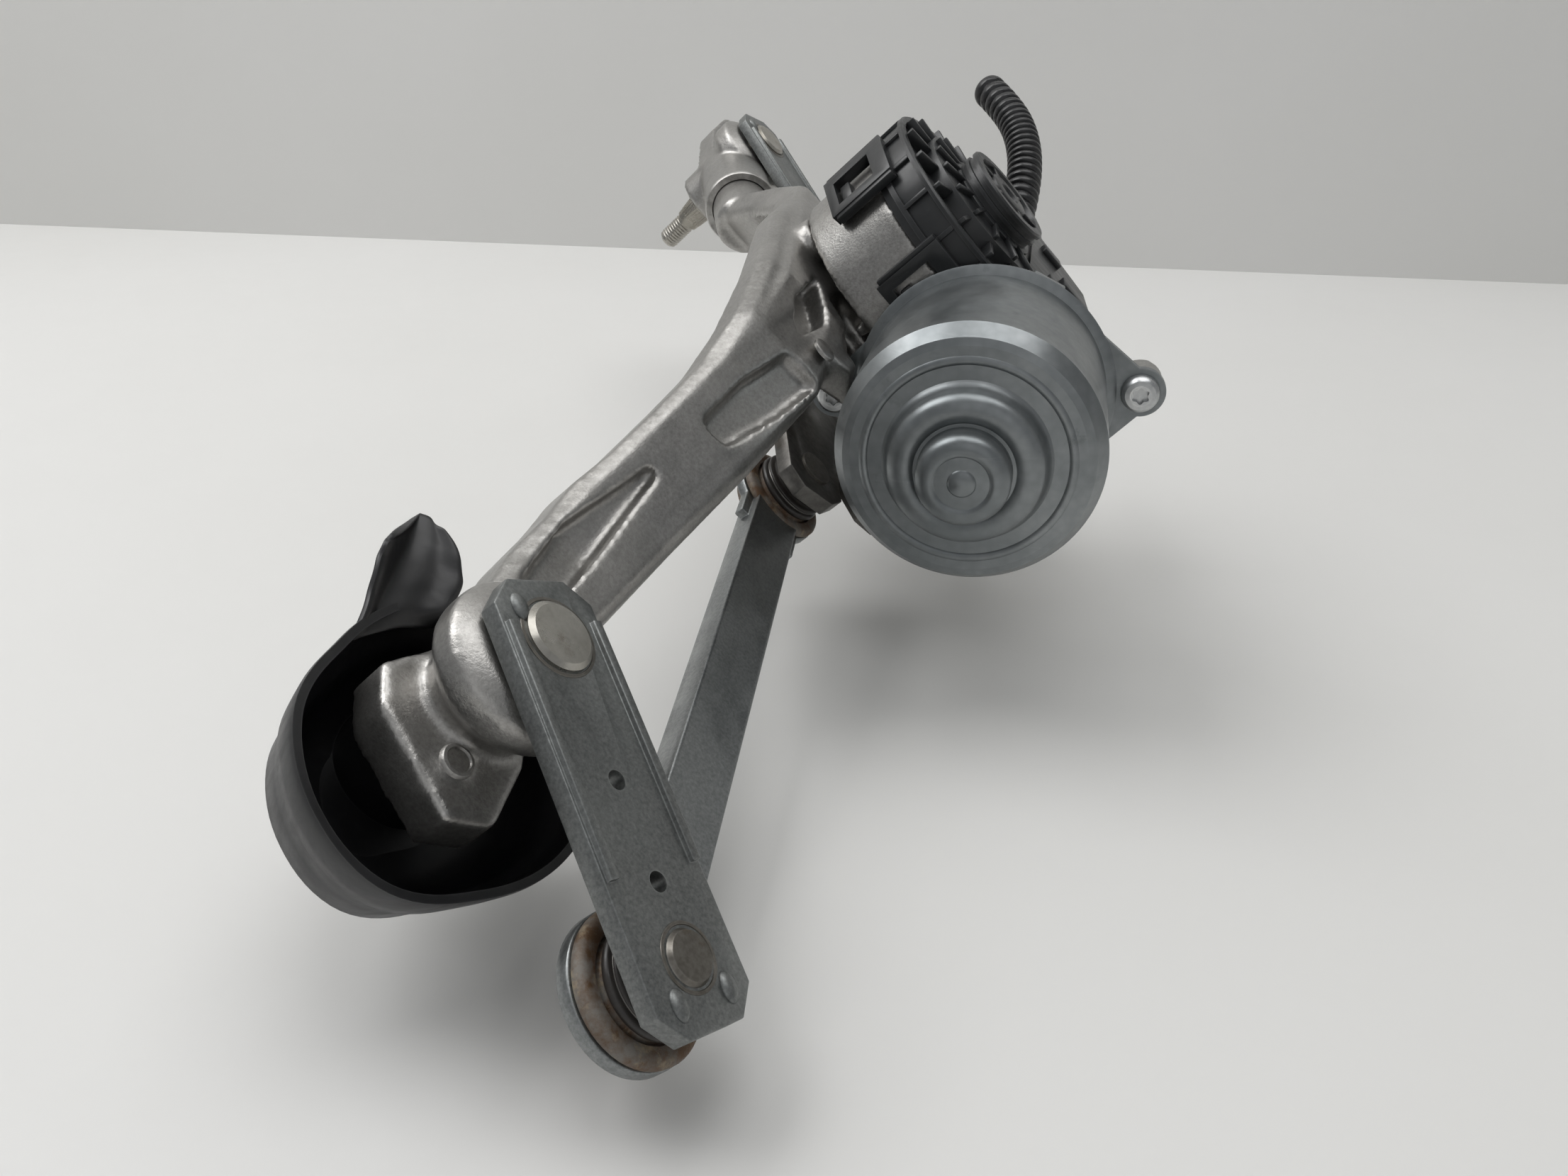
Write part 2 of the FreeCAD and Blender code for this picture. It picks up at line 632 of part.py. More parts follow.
def smooth_ring(points, level):
    """Closed curve through points at one level."""
    curve = Part.BSplineCurve()
    curve.interpolate([v(px, py, level) for px, py in points], PeriodicFlag=True)
    return Part.Wire([curve.toShape()])


def cup_ring(grow, level):
    """Outline of the rain cup, grown outwards by an amount."""
    outline = [(34, 90), (33, 45), (36, 0), (37, -45), (35, -90), (34, -135), (33, 180), (34, 135)]
    return smooth_ring([polar(1, -2, radius + grow, deg) for radius, deg in outline], level)


def rain_cup():
    """Rubber cup that keeps rain off the near spindle, with its pull tongue."""
    low, high = cup_level, cup_level + cup_depth
    outer = Part.makeLoft([cup_ring(-9, low), cup_ring(-2, low + 6), cup_ring(0, high)], True, True)
    inner = Part.makeLoft([cup_ring(-9 - cup_wall, low + cup_wall), cup_ring(-2 - cup_wall, low + 6 + cup_wall),
                           cup_ring(-cup_wall, high + 1)], True, True)
    cup = outer.cut(inner)
    tongue = Part.makeBox(26, 34, cup_wall, v(-26, 22, high - cup_wall - 3))
    lip = Part.makeBox(26, cup_wall, 14, v(-26, 56 - cup_wall, high - cup_wall - 3))
    tongue = tongue.fuse(lip).cut(inner)
    cup = cup.fuse(tongue)
    collar = turned([(spindle_r + 3.5, low), (boss_r - 0.5, low), (boss_r - 0.5, boss_low - clip_thick - 0.3),
                     (spindle_r + 3.5, boss_low - clip_thick - 0.3)], 0, 0)
    seat = turned([(boss_r, low), (boss_r + 2.0, low), (boss_r + 2.0, boss_low + 2.5), (boss_r, boss_low + 2.5)], 0, 0)
    cup = fuse(cup, collar, seat)
    return cup.cut(cyl(0, 0, low - 1, high, spindle_r + 3.5)).cut(cyl(0, 0, boss_low, high, boss_r)).removeSplitter()


def conduit_path():
    """Route of the conduit stub as hand-set points."""
    return [v(59, 206, 78), v(58, 224, 90), v(52, 243, 99), v(43, 262, 104)]


def conduit():
    """Ribbed conduit stub with its bore, cut off square at its far end."""
    points = conduit_path()
    legs = [points[n + 1] - points[n] for n in range(len(points) - 1)]
    total = sum(leg.Length for leg in legs)
    rings = int(total / rib_pitch)
    curve = Part.BSplineCurve()
    curve.interpolate(points)
    last = curve.LastParameter
    wires = []
    for n in range(rings * 2 + 1):
        share = n / (rings * 2.0) * last
        radius = conduit_r if n % 2 else conduit_r - conduit_rib
        wires.append(Part.Wire([Part.Circle(curve.value(share), curve.tangent(share)[0], radius).toShape()]))
    skin = Part.makeLoft(wires, True, True)
    bores = [Part.Wire([Part.Circle(curve.value(s * last), curve.tangent(s * last)[0], conduit_bore_r).toShape()])
             for s in (0.0, 0.25, 0.5, 0.75, 1.0)]
    return skin.cut(Part.makeLoft(bores, True, True))


def build_all():
    """Every piece by the name of its file."""
    plate_low, plate_high = 0.0, crank_thick
    case = gear_case()
    for ear in flange_bosses():
        case = case.fuse(ear)
    case = case.removeSplitter()
    can = motor_can()
    bracket = cast_bracket()
    lid = case_cover().cut(case).cut(can)
    screws = can_screws()
    pieces = {
        "cast_bracket": bracket,
        "far_housing": far_housing(),
        "near_bush": pivot_bush(0),
        "far_bush": pivot_bush(pivot_distance),
        "near_clip": retaining_clip(0),
        "far_clip": retaining_clip(pivot_distance),
        "gear_case": case,
        "output_bush": output_bush(),
        "case_cover": lid,
        "cover_clips": cover_clips().cut(case).cut(can).cut(screws),
        "motor_can": can,
        "can_screws": screws,
        "armature": armature(),
        "magnets": magnets(),
        "mount_bolts": mount_bolts(),
        "rain_cup": rain_cup().cut(bracket),
        "conduit": conduit().cut(lid),
        "near_spindle": spindle(0),
        "near_lever": lever(0, near_rest_deg),
        "near_ball_stud": ball_stud(near_ball, True, plate_thick),
        "far_spindle": spindle(pivot_distance),
        "far_lever": lever(pivot_distance, far_rest_deg),
        "far_ball_stud": ball_stud(far_ball, False, plate_thick),
        "near_link": link_rod(near_ball, crank_near, low_ball_z, False),
        "near_link_socket": socket_cup(near_ball, low_ball_z, True),
        "near_link_boot": dust_boot(near_ball, low_ball_z, 0.0),
        "near_crank_socket": socket_cup(crank_near, low_ball_z, True),
        "near_crank_boot": dust_boot(crank_near, low_ball_z, plate_low),
        "near_crank_ball": loose_ball(crank_near, low_ball_z, plate_low),
        "far_link": link_rod(crank_far, far_ball, high_ball_z, True),
        "far_link_socket": socket_cup(far_ball, high_ball_z, False),
        "far_link_boot": dust_boot(far_ball, high_ball_z, plate_thick),
        "far_crank_socket": socket_cup(crank_far, high_ball_z, False),
        "far_crank_boot": dust_boot(crank_far, high_ball_z, plate_high),
        "far_crank_ball": loose_ball(crank_far, high_ball_z, plate_high),
        "crank_plate": crank_plate(),
        "crank_rivets": crank_rivets(),
        "crank_nut": crank_nut(),
        "output_shaft": output_shaft(),
        "worm_wheel": worm_wheel(),
    }
    return pieces


def rest_pose():
    """Placement that lays the linkage on the bench, thread middle at the origin."""
    lean = Rotation(v(0, 1, 0), lean_deg)
    rise = Rotation(v(1, 0, 0), rise_deg)
    turn = rise.multiply(lean)
    thread_mid = v(0, 0, boss_low - clip_thick - 0.8 - cone_length - thread_length / 2)
    return Placement(v(0, 0, 0) - turn.multVec(thread_mid), turn)


def main():
    """Build, lay down and write every piece."""
    os.makedirs("parts", exist_ok=True)
    pose = rest_pose()
    for name, shape in build_all().items():
        shape = shape.copy()
        shape.Placement = pose.multiply(shape.Placement)
        shape.exportStep("parts/" + name + ".step")
        box = shape.BoundBox
        print("%-20s solids %d valid %s volume %9.1f  z %.1f to %.1f"
              % (name, len(shape.Solids), shape.isValid(), shape.Volume, box.ZMin, box.ZMax))


main()
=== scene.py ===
"""Dressed model of a two-spindle wiper linkage with its motor, resting on a bench.

Pieces are modelled in the linkage frame of the part's source, in millimetres:
x across, y from the near spindle to the far one, z along the spindles towards
the levers.  REST then lays them on the bench, in metres.
"""
import logging
import math
from dataclasses import dataclass, field
from enum import Enum

import bmesh
import bpy
from mathutils import Matrix, Vector, noise


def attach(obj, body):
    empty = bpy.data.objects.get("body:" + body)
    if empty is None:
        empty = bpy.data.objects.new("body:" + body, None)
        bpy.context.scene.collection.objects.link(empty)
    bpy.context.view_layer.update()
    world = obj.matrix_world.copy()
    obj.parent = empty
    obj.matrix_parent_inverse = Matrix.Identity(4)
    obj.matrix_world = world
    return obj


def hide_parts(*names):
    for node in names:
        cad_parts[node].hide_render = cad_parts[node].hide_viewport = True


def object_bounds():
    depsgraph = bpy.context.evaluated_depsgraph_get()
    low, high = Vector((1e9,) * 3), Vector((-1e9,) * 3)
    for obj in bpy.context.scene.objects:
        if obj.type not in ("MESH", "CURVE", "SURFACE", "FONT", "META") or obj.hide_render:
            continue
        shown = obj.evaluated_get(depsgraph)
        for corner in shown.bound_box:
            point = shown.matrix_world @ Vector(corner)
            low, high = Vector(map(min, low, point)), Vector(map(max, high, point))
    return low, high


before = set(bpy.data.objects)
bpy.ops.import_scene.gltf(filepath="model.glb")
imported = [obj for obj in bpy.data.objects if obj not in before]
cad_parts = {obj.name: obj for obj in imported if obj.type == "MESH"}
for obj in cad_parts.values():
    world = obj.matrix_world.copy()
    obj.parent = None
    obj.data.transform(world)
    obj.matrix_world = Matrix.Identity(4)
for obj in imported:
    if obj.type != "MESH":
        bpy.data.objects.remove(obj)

log = logging.getLogger("wiper_linkage")

MM = 0.001
CAD_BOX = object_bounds()

# Rest pose on the bench, as in the part's source
LEAN = math.radians(47.0)
RISE = math.radians(7.4)
THREAD_MID = Vector((0.0, 0.0, -51.5))
TURN = Matrix.Rotation(RISE, 4, "X") @ Matrix.Rotation(LEAN, 4, "Y")
REST = Matrix.Scale(MM, 4) @ Matrix.Translation(-(TURN @ THREAD_MID)) @ TURN
REST_INVERSE = REST.inverted()


class Body(Enum):
    """Moving bodies of the part."""

    FRAME = "frame"
    NEAR_ARM = "near_arm"
    FAR_ARM = "far_arm"
    NEAR_ROD = "near_rod"
    FAR_ROD = "far_rod"
    CRANK = "crank"


class Slot(Enum):
    """Material slots of the part's record."""

    ALLOY = "cast_alloy"
    ZINC = "galvanised_steel"
    STEEL = "bright_steel"
    BRONZE = "bush_bronze"
    PLASTIC = "black_plastic"
    RUBBER = "black_rubber"
    CREAM = "cream_plastic"
    MAGNET = "magnet_ferrite"


class Graph:
    """Node graph of one material, reading Object coordinates in metres."""

    def __init__(self, name: str) -> None:
        """Start a material with its plain shader.

        Args:
            name: Name of the material.
        """
        self.material = bpy.data.materials.new(name)
        self.material.use_nodes = True
        self.tree = self.material.node_tree
        self.shader = self.tree.nodes["Principled BSDF"]
        self.coords = self.tree.nodes.new("ShaderNodeTexCoord").outputs["Object"]

    def link(self, source: bpy.types.NodeSocket, target: bpy.types.NodeSocket) -> None:
        """Join two sockets."""
        self.tree.links.new(source, target)

    def stretched(self, scale: tuple[float, float, float], turn: tuple[float, float, float]) -> bpy.types.NodeSocket:
        """Coordinates turned and stretched for brushed or drawn marks.

        Args:
            scale: Stretch along each axis.
            turn: Turn about each axis in radians.

        Returns:
            The mapped coordinates.
        """
        node = self.tree.nodes.new("ShaderNodeMapping")
        node.inputs["Scale"].default_value = scale
        node.inputs["Rotation"].default_value = turn
        self.link(self.coords, node.inputs["Vector"])
        return node.outputs["Vector"]

    def cloud(self, scale: float, detail: float = 3.0, rough: float = 0.55,
              coords: bpy.types.NodeSocket | None = None) -> bpy.types.NodeSocket:
        """Noise value.

        Args:
            scale: Cells per metre.
            detail: Octaves.
            rough: Share kept by each octave.
            coords: Other coordinates than the object's own.

        Returns:
            The noise factor.
        """
        node = self.tree.nodes.new("ShaderNodeTexNoise")
        node.inputs["Scale"].default_value = scale
        node.inputs["Detail"].default_value = detail
        node.inputs["Roughness"].default_value = rough
        self.link(coords or self.coords, node.inputs["Vector"])
        return node.outputs["Fac"]

    def cells(self, scale: float) -> bpy.types.NodeSocket:
        """Distance to the nearest cell centre, for zinc flowers and pits."""
        node = self.tree.nodes.new("ShaderNodeTexVoronoi")
        node.inputs["Scale"].default_value = scale
        self.link(self.coords, node.inputs["Vector"])
        return node.outputs["Distance"]

    def span(self, value: bpy.types.NodeSocket, low: float, high: float,
             to_low: float = 0.0, to_high: float = 1.0) -> bpy.types.NodeSocket:
        """Clamp a value from one range into another.

        Args:
            value: Value to carry over.
            low: Value that gives to_low.
            high: Value that gives to_high.
            to_low: Result at low.
            to_high: Result at high.

        Returns:
            The carried value.
        """
        node = self.tree.nodes.new("ShaderNodeMapRange")
        for socket, number in (("From Min", low), ("From Max", high), ("To Min", to_low), ("To Max", to_high)):
            node.inputs[socket].default_value = number
        self.link(value, node.inputs["Value"])
        return node.outputs["Result"]

    def product(self, first: bpy.types.NodeSocket, second: bpy.types.NodeSocket | float,
                kind: str = "MULTIPLY") -> bpy.types.NodeSocket:
        """Two values joined by arithmetic.

        Args:
            first: First value.
            second: Second value or number.
            kind: Operation of the node.

        Returns:
            The result.
        """
        node = self.tree.nodes.new("ShaderNodeMath")
        node.operation = kind
        self.link(first, node.inputs[0])
        if isinstance(second, (int, float)):
            node.inputs[1].default_value = second
        else:
            self.link(second, node.inputs[1])
        return node.outputs[0]

    def blend(self, share: bpy.types.NodeSocket, first: object, second: object) -> bpy.types.NodeSocket:
        """Mix two colours.

        Args:
            share: Share of the second colour.
            first: Colour or socket at 0.
            second: Colour or socket at 1.

        Returns:
            The mixed colour.
        """
        node = self.tree.nodes.new("ShaderNodeMix")
        node.data_type = "RGBA"
        self.link(share, node.inputs[0])
        for place, colour in ((6, first), (7, second)):
            if isinstance(colour, tuple):
                node.inputs[place].default_value = (*colour, 1.0)
            else:
                self.link(colour, node.inputs[place])
        return node.outputs[2]

    def edges(self, radius: float, low: float = 0.02, high: float = 0.25) -> bpy.types.NodeSocket:
        """Mask of worn edges, where a rounded normal leaves the true one.

        Args:
            radius: Reach of the wear in metres.
            low: Departure at which wear starts.
            high: Departure at which wear is full.

        Returns:
            The mask.
        """
        bevel = self.tree.nodes.new("ShaderNodeBevel")
        bevel.samples = 4
        bevel.inputs["Radius"].default_value = radius
        true = self.tree.nodes.new("ShaderNodeNewGeometry").outputs["Normal"]
        dot = self.tree.nodes.new("ShaderNodeVectorMath")
        dot.operation = "DOT_PRODUCT"
        self.link(bevel.outputs[0], dot.inputs[0])
        self.link(true, dot.inputs[1])
        return self.span(dot.outputs["Value"], 1.0 - low, 1.0 - high)

    def crests(self, low: float, high: float) -> bpy.types.NodeSocket:
        """Mask of raised edges from the curvature of a dense mesh."""
        point = self.tree.nodes.new("ShaderNodeNewGeometry").outputs["Pointiness"]
        return self.span(point, low, high)

    def relief(self, height: bpy.types.NodeSocket, strength: float, distance: float,
               under: bpy.types.NodeSocket | None = None) -> bpy.types.NodeSocket:
        """Bump from a height.

        Args:
            height: Height value.
            strength: Strength of the bump.
            distance: Depth in metres.
            under: Normal that the bump is laid on.

        Returns:
            The bumped normal.
        """
        node = self.tree.nodes.new("ShaderNodeBump")
        node.inputs["Strength"].default_value = strength
        node.inputs["Distance"].default_value = distance
        self.link(height, node.inputs["Height"])
        if under:
            self.link(under, node.inputs["Normal"])
        return node.outputs["Normal"]

    def dress(self, colour: object = None, roughness: object = None,
              normal: bpy.types.NodeSocket | None = None, **plain: float) -> bpy.types.Material:
        """Join the results to the shader.

        Args:
            colour: Colour socket.
            roughness: Roughness socket.
            normal: Normal socket.
            **plain: Numbers for the shader's own sockets.

        Returns:
            The finished material.
        """
        if colour is not None:
            self.link(colour, self.shader.inputs["Base Color"])
        if roughness is not None:
            self.link(roughness, self.shader.inputs["Roughness"])
        if normal is not None:
            self.link(normal, self.shader.inputs["Normal"])
        for name, number in plain.items():
            self.shader.inputs[name.replace("_", " ").title().replace("Ior", "IOR")].default_value = number
        return self.material


@dataclass(frozen=True)
class MetalFinish:
    """Metal with a clouded tone, a grain, dirt and brighter worn edges."""

    name: str
    base: tuple[float, float, float]
    shade: tuple[float, float, float]
    worn: tuple[float, float, float]
    dirt: tuple[float, float, float] = (0.05, 0.045, 0.04)
    rough_low: float = 0.35
    rough_high: float = 0.55
    metallic: float = 0.9
    grain: float = 1400.0
    grain_depth: float = 0.00008
    grain_strength: float = 0.35
    dirt_share: float = 0.62
    crested: bool = False
    edge_reach: float = 0.0006

    def make(self) -> bpy.types.Material:
        """Build the material.

        Returns:
            The material.
        """
        g = Graph(self.name)
        tone = g.blend(g.span(g.cloud(38.0, 5.0), 0.35, 0.68), self.base, self.shade)
        speck = g.span(g.cloud(self.grain * 0.55, 2.0, 0.7), 0.30, 0.72, 0.0, 0.30)
        tone = g.blend(speck, tone, self.worn)
        wear = g.crests(0.515, 0.60) if self.crested else g.edges(self.edge_reach)
        broken = g.span(g.cloud(260.0, 4.0), 0.38, 0.62)
        tone = g.blend(g.product(g.product(wear, broken), 0.8), tone, self.worn)
        grime = g.span(g.cloud(95.0, 6.0, 0.68), self.dirt_share, self.dirt_share + 0.16, 0.0, 0.75)
        tone = g.blend(grime, tone, self.dirt)
        rough = g.span(g.cloud(120.0, 4.0), 0.3, 0.7, self.rough_low, self.rough_high)
        fine = g.relief(g.cloud(self.grain, 3.0, 0.6), self.grain_strength, self.grain_depth)
        dents = g.relief(g.cloud(160.0, 2.0), 0.12, 0.0006, fine)
        return g.dress(tone, rough, dents, metallic=self.metallic)


@dataclass(frozen=True)
class DrawnZinc:
    """Zinc-plated deep-drawn steel with a chalky cloud and faint draw marks."""

    name: str
    base: tuple[float, float, float] = (0.17, 0.185, 0.19)
    chalk: tuple[float, float, float] = (0.29, 0.305, 0.31)
    dark: tuple[float, float, float] = (0.09, 0.10, 0.105)
    rough_low: float = 0.27
    rough_high: float = 0.46

    def make(self) -> bpy.types.Material:
        """Build the material.

        Returns:
            The material.
        """
        g = Graph(self.name)
        tone = g.blend(g.span(g.cloud(26.0, 6.0, 0.6), 0.34, 0.66), self.base, self.chalk)
        flowers = g.span(g.cells(420.0), 0.1, 0.9, 0.0, 0.22)
        tone = g.blend(flowers, tone, self.dark)
        scuff = g.cloud(30.0, 8.0, 0.75, g.stretched((1.0, 1.0, 22.0), (0.4, 0.9, 0.2)))
        tone = g.blend(g.span(scuff, 0.60, 0.70, 0.0, 0.45), tone, self.chalk)
        stain = g.span(g.cloud(70.0, 7.0, 0.7), 0.64, 0.74, 0.0, 0.6)
        tone = g.blend(stain, tone, self.dark)
        tone = g.blend(g.product(g.edges(0.0009), 0.7), tone, self.chalk)
        rough = g.span(g.cloud(55.0, 6.0, 0.7), 0.3, 0.7, self.rough_low, self.rough_high)
        fine = g.relief(g.cloud(1900.0, 2.0), 0.10, 0.00004)
        marks = g.relief(scuff, 0.08, 0.0003, fine)
        return g.dress(tone, rough, marks, metallic=0.86)


@dataclass(frozen=True)
class PolymerFinish:
    """Moulded plastic or rubber with fine texture, scuffs and settled dust."""

    name: str
    base: tuple[float, float, float]
    scuff: tuple[float, float, float]
    rough_low: float = 0.32
    rough_high: float = 0.5
    grain: float = 2400.0
    grain_strength: float = 0.12
    dust: float = 0.35
    coat: float = 0.0
    soft_light: float = 0.0

    def make(self) -> bpy.types.Material:
        """Build the material.

        Returns:
            The material.
        """
        g = Graph(self.name)
        marks = g.cloud(60.0, 8.0, 0.72, g.stretched((1.0, 6.0, 2.0), (0.5, 0.2, 0.8)))
        powder = g.span(g.cloud(420.0, 5.0, 0.7), 0.52, 0.80, 0.0, self.dust)
        share = g.product(g.span(marks, 0.50, 0.78, 0.15, 1.0), powder)
        tone = g.blend(share, self.base, self.scuff)
        tone = g.blend(g.product(g.edges(0.0005), 0.35), tone, self.scuff)
        rough = g.span(marks, 0.35, 0.7, self.rough_low, self.rough_high)
        fine = g.relief(g.cloud(self.grain, 2.0), self.grain_strength, 0.00006)
        made = g.dress(tone, rough, fine, coat_weight=self.coat, coat_roughness=0.25)
        g.shader.inputs["Subsurface Weight"].default_value = self.soft_light
        g.shader.inputs["Subsurface Radius"].default_value = (0.004, 0.0028, 0.0015)
        return made


@dataclass(frozen=True)
class RustFinish:
    """Steel rim with brown rust over old plating."""

    name: str
    plate: tuple[float, float, float] = (0.20, 0.185, 0.165)
    rust: tuple[float, float, float] = (0.11, 0.062, 0.032)
    pale: tuple[float, float, float] = (0.36, 0.29, 0.19)

    def make(self) -> bpy.types.Material:
        """Build the material.

        Returns:
            The material.
        """
        g = Graph(self.name)
        tone = g.blend(g.span(g.cloud(150.0, 6.0, 0.7), 0.40, 0.60), self.rust, self.plate)
        tone = g.blend(g.span(g.cloud(240.0, 5.0, 0.7), 0.54, 0.70, 0.0, 0.8), tone, self.pale)
        rough = g.span(g.cloud(300.0, 4.0), 0.3, 0.7, 0.5, 0.85)
        return g.dress(tone, rough, g.relief(g.cloud(900.0, 4.0, 0.7), 0.5, 0.00012), metallic=0.35)


class Finishes:
    """Every finish of the part, made once."""

    def __init__(self) -> None:
        """Make the materials."""
        self.alloy = MetalFinish("cast_alloy_blasted", (0.33, 0.32, 0.305), (0.25, 0.243, 0.232), (0.64, 0.63, 0.61),
                                 rough_low=0.28, rough_high=0.44, grain=2000.0, grain_strength=0.75,
                                 crested=True, dirt_share=0.66).make()
        self.zinc = MetalFinish("lever_zinc_dull", (0.155, 0.163, 0.16), (0.12, 0.125, 0.123), (0.44, 0.45, 0.44),
                                rough_low=0.34, rough_high=0.5, grain=2300.0, grain_strength=0.12,
                                metallic=0.8, dirt=(0.07, 0.06, 0.05), dirt_share=0.66).make()
        self.channel = MetalFinish("link_zinc_bright", (0.23, 0.24, 0.24), (0.155, 0.165, 0.165), (0.56, 0.57, 0.57),
                                   rough_low=0.28, rough_high=0.46, grain=2300.0, grain_strength=0.10,
                                   metallic=0.88, dirt_share=0.68).make()
        self.can = DrawnZinc("can_zinc_drawn").make()
        self.screw = MetalFinish("screw_zinc", (0.52, 0.53, 0.53), (0.38, 0.39, 0.40), (0.74, 0.74, 0.73),
                                 rough_low=0.22, rough_high=0.36, grain_strength=0.1).make()
        self.rivet = MetalFinish("rivet_stained", (0.165, 0.155, 0.138), (0.11, 0.10, 0.085), (0.32, 0.305, 0.28),
                                 rough_low=0.30, rough_high=0.46, grain_strength=0.15, dirt_share=0.58,
                                 dirt=(0.12, 0.085, 0.05)).make()
        self.crank = MetalFinish("crank_oiled", (0.15, 0.145, 0.135), (0.09, 0.085, 0.08), (0.30, 0.29, 0.27),
                                 rough_low=0.30, rough_high=0.5, metallic=0.8, grain=900.0,
                                 dirt=(0.06, 0.045, 0.03), dirt_share=0.56).make()
        self.shaft = MetalFinish("spindle_steel", (0.40, 0.385, 0.35), (0.26, 0.24, 0.20), (0.60, 0.58, 0.54),
                                 rough_low=0.22, rough_high=0.4, grain_strength=0.12, dirt_share=0.6,
                                 dirt=(0.14, 0.10, 0.06)).make()
        self.bronze = MetalFinish("bush_bronze", (0.42, 0.30, 0.15), (0.30, 0.21, 0.11), (0.60, 0.46, 0.26)).make()
        self.copper = MetalFinish("winding_copper", (0.55, 0.27, 0.15), (0.38, 0.17, 0.10), (0.72, 0.42, 0.28)).make()
        self.magnet = MetalFinish("magnet_ferrite", (0.08, 0.08, 0.085), (0.05, 0.05, 0.055), (0.14, 0.14, 0.14),
                                  metallic=0.3, rough_low=0.5, rough_high=0.7).make()
        self.plastic = PolymerFinish("cover_black_plastic", (0.017, 0.018, 0.019), (0.12, 0.12, 0.12),
                                     rough_low=0.28, rough_high=0.44, dust=0.25).make()
        self.cup = PolymerFinish("cup_black_rubber", (0.009, 0.009, 0.010), (0.09, 0.09, 0.09),
                                 rough_low=0.34, rough_high=0.5, dust=0.3).make()
        self.boot = PolymerFinish("boot_black_rubber", (0.022, 0.019, 0.017), (0.10, 0.085, 0.07),
                                  rough_low=0.30, rough_high=0.5, dust=0.8).make()
        self.cream = PolymerFinish("socket_cream", (0.60, 0.54, 0.38), (0.50, 0.40, 0.22),
                                   rough_low=0.26, rough_high=0.4, dust=0.7, soft_light=0.35).make()
        self.wheel = PolymerFinish("wheel_nylon", (0.55, 0.52, 0.44), (0.45, 0.42, 0.36)).make()
        self.hose = PolymerFinish("conduit_black", (0.014, 0.014, 0.015), (0.10, 0.10, 0.10),
                                  rough_low=0.22, rough_high=0.4, dust=0.3).make()
        self.wire_white = PolymerFinish("wire_white", (0.62, 0.60, 0.55), (0.42, 0.38, 0.32)).make()
        self.wire_brown = PolymerFinish("wire_brown", (0.16, 0.09, 0.05), (0.24, 0.16, 0.10)).make()
        self.rust = RustFinish("cap_rusty_steel").make()

    def nodes(self) -> dict[str, bpy.types.Material]:
        """Material of each CAD node.

        Returns:
            Material by node name.
        """
        table = {
            self.alloy: ("cast_bracket", "far_housing", "gear_case"),
            self.zinc: ("near_lever", "far_lever"),
            self.channel: ("near_link", "far_link"),
            self.can: ("motor_can",),
            self.screw: ("can_screws", "mount_bolts", "crank_nut"),
            self.rivet: ("near_ball_stud", "far_ball_stud", "crank_rivets", "near_crank_ball", "far_crank_ball"),
            self.crank: ("crank_plate",),
            self.shaft: ("near_spindle", "far_spindle", "near_clip", "far_clip", "output_shaft"),
            self.bronze: ("near_bush", "far_bush", "output_bush"),
            self.copper: ("armature",),
            self.magnet: ("magnets",),
            self.plastic: ("case_cover", "cover_clips"),
            self.cup: ("rain_cup",),
            self.boot: ("near_link_boot", "near_crank_boot", "far_link_boot", "far_crank_boot"),
            self.cream: ("far_link_socket", "far_crank_socket"),
            self.rust: ("near_link_socket", "near_crank_socket"),
            self.wheel: ("worm_wheel",),
            self.hose: ("conduit",),
        }
        return {node: material for material, names in table.items() for node in names}


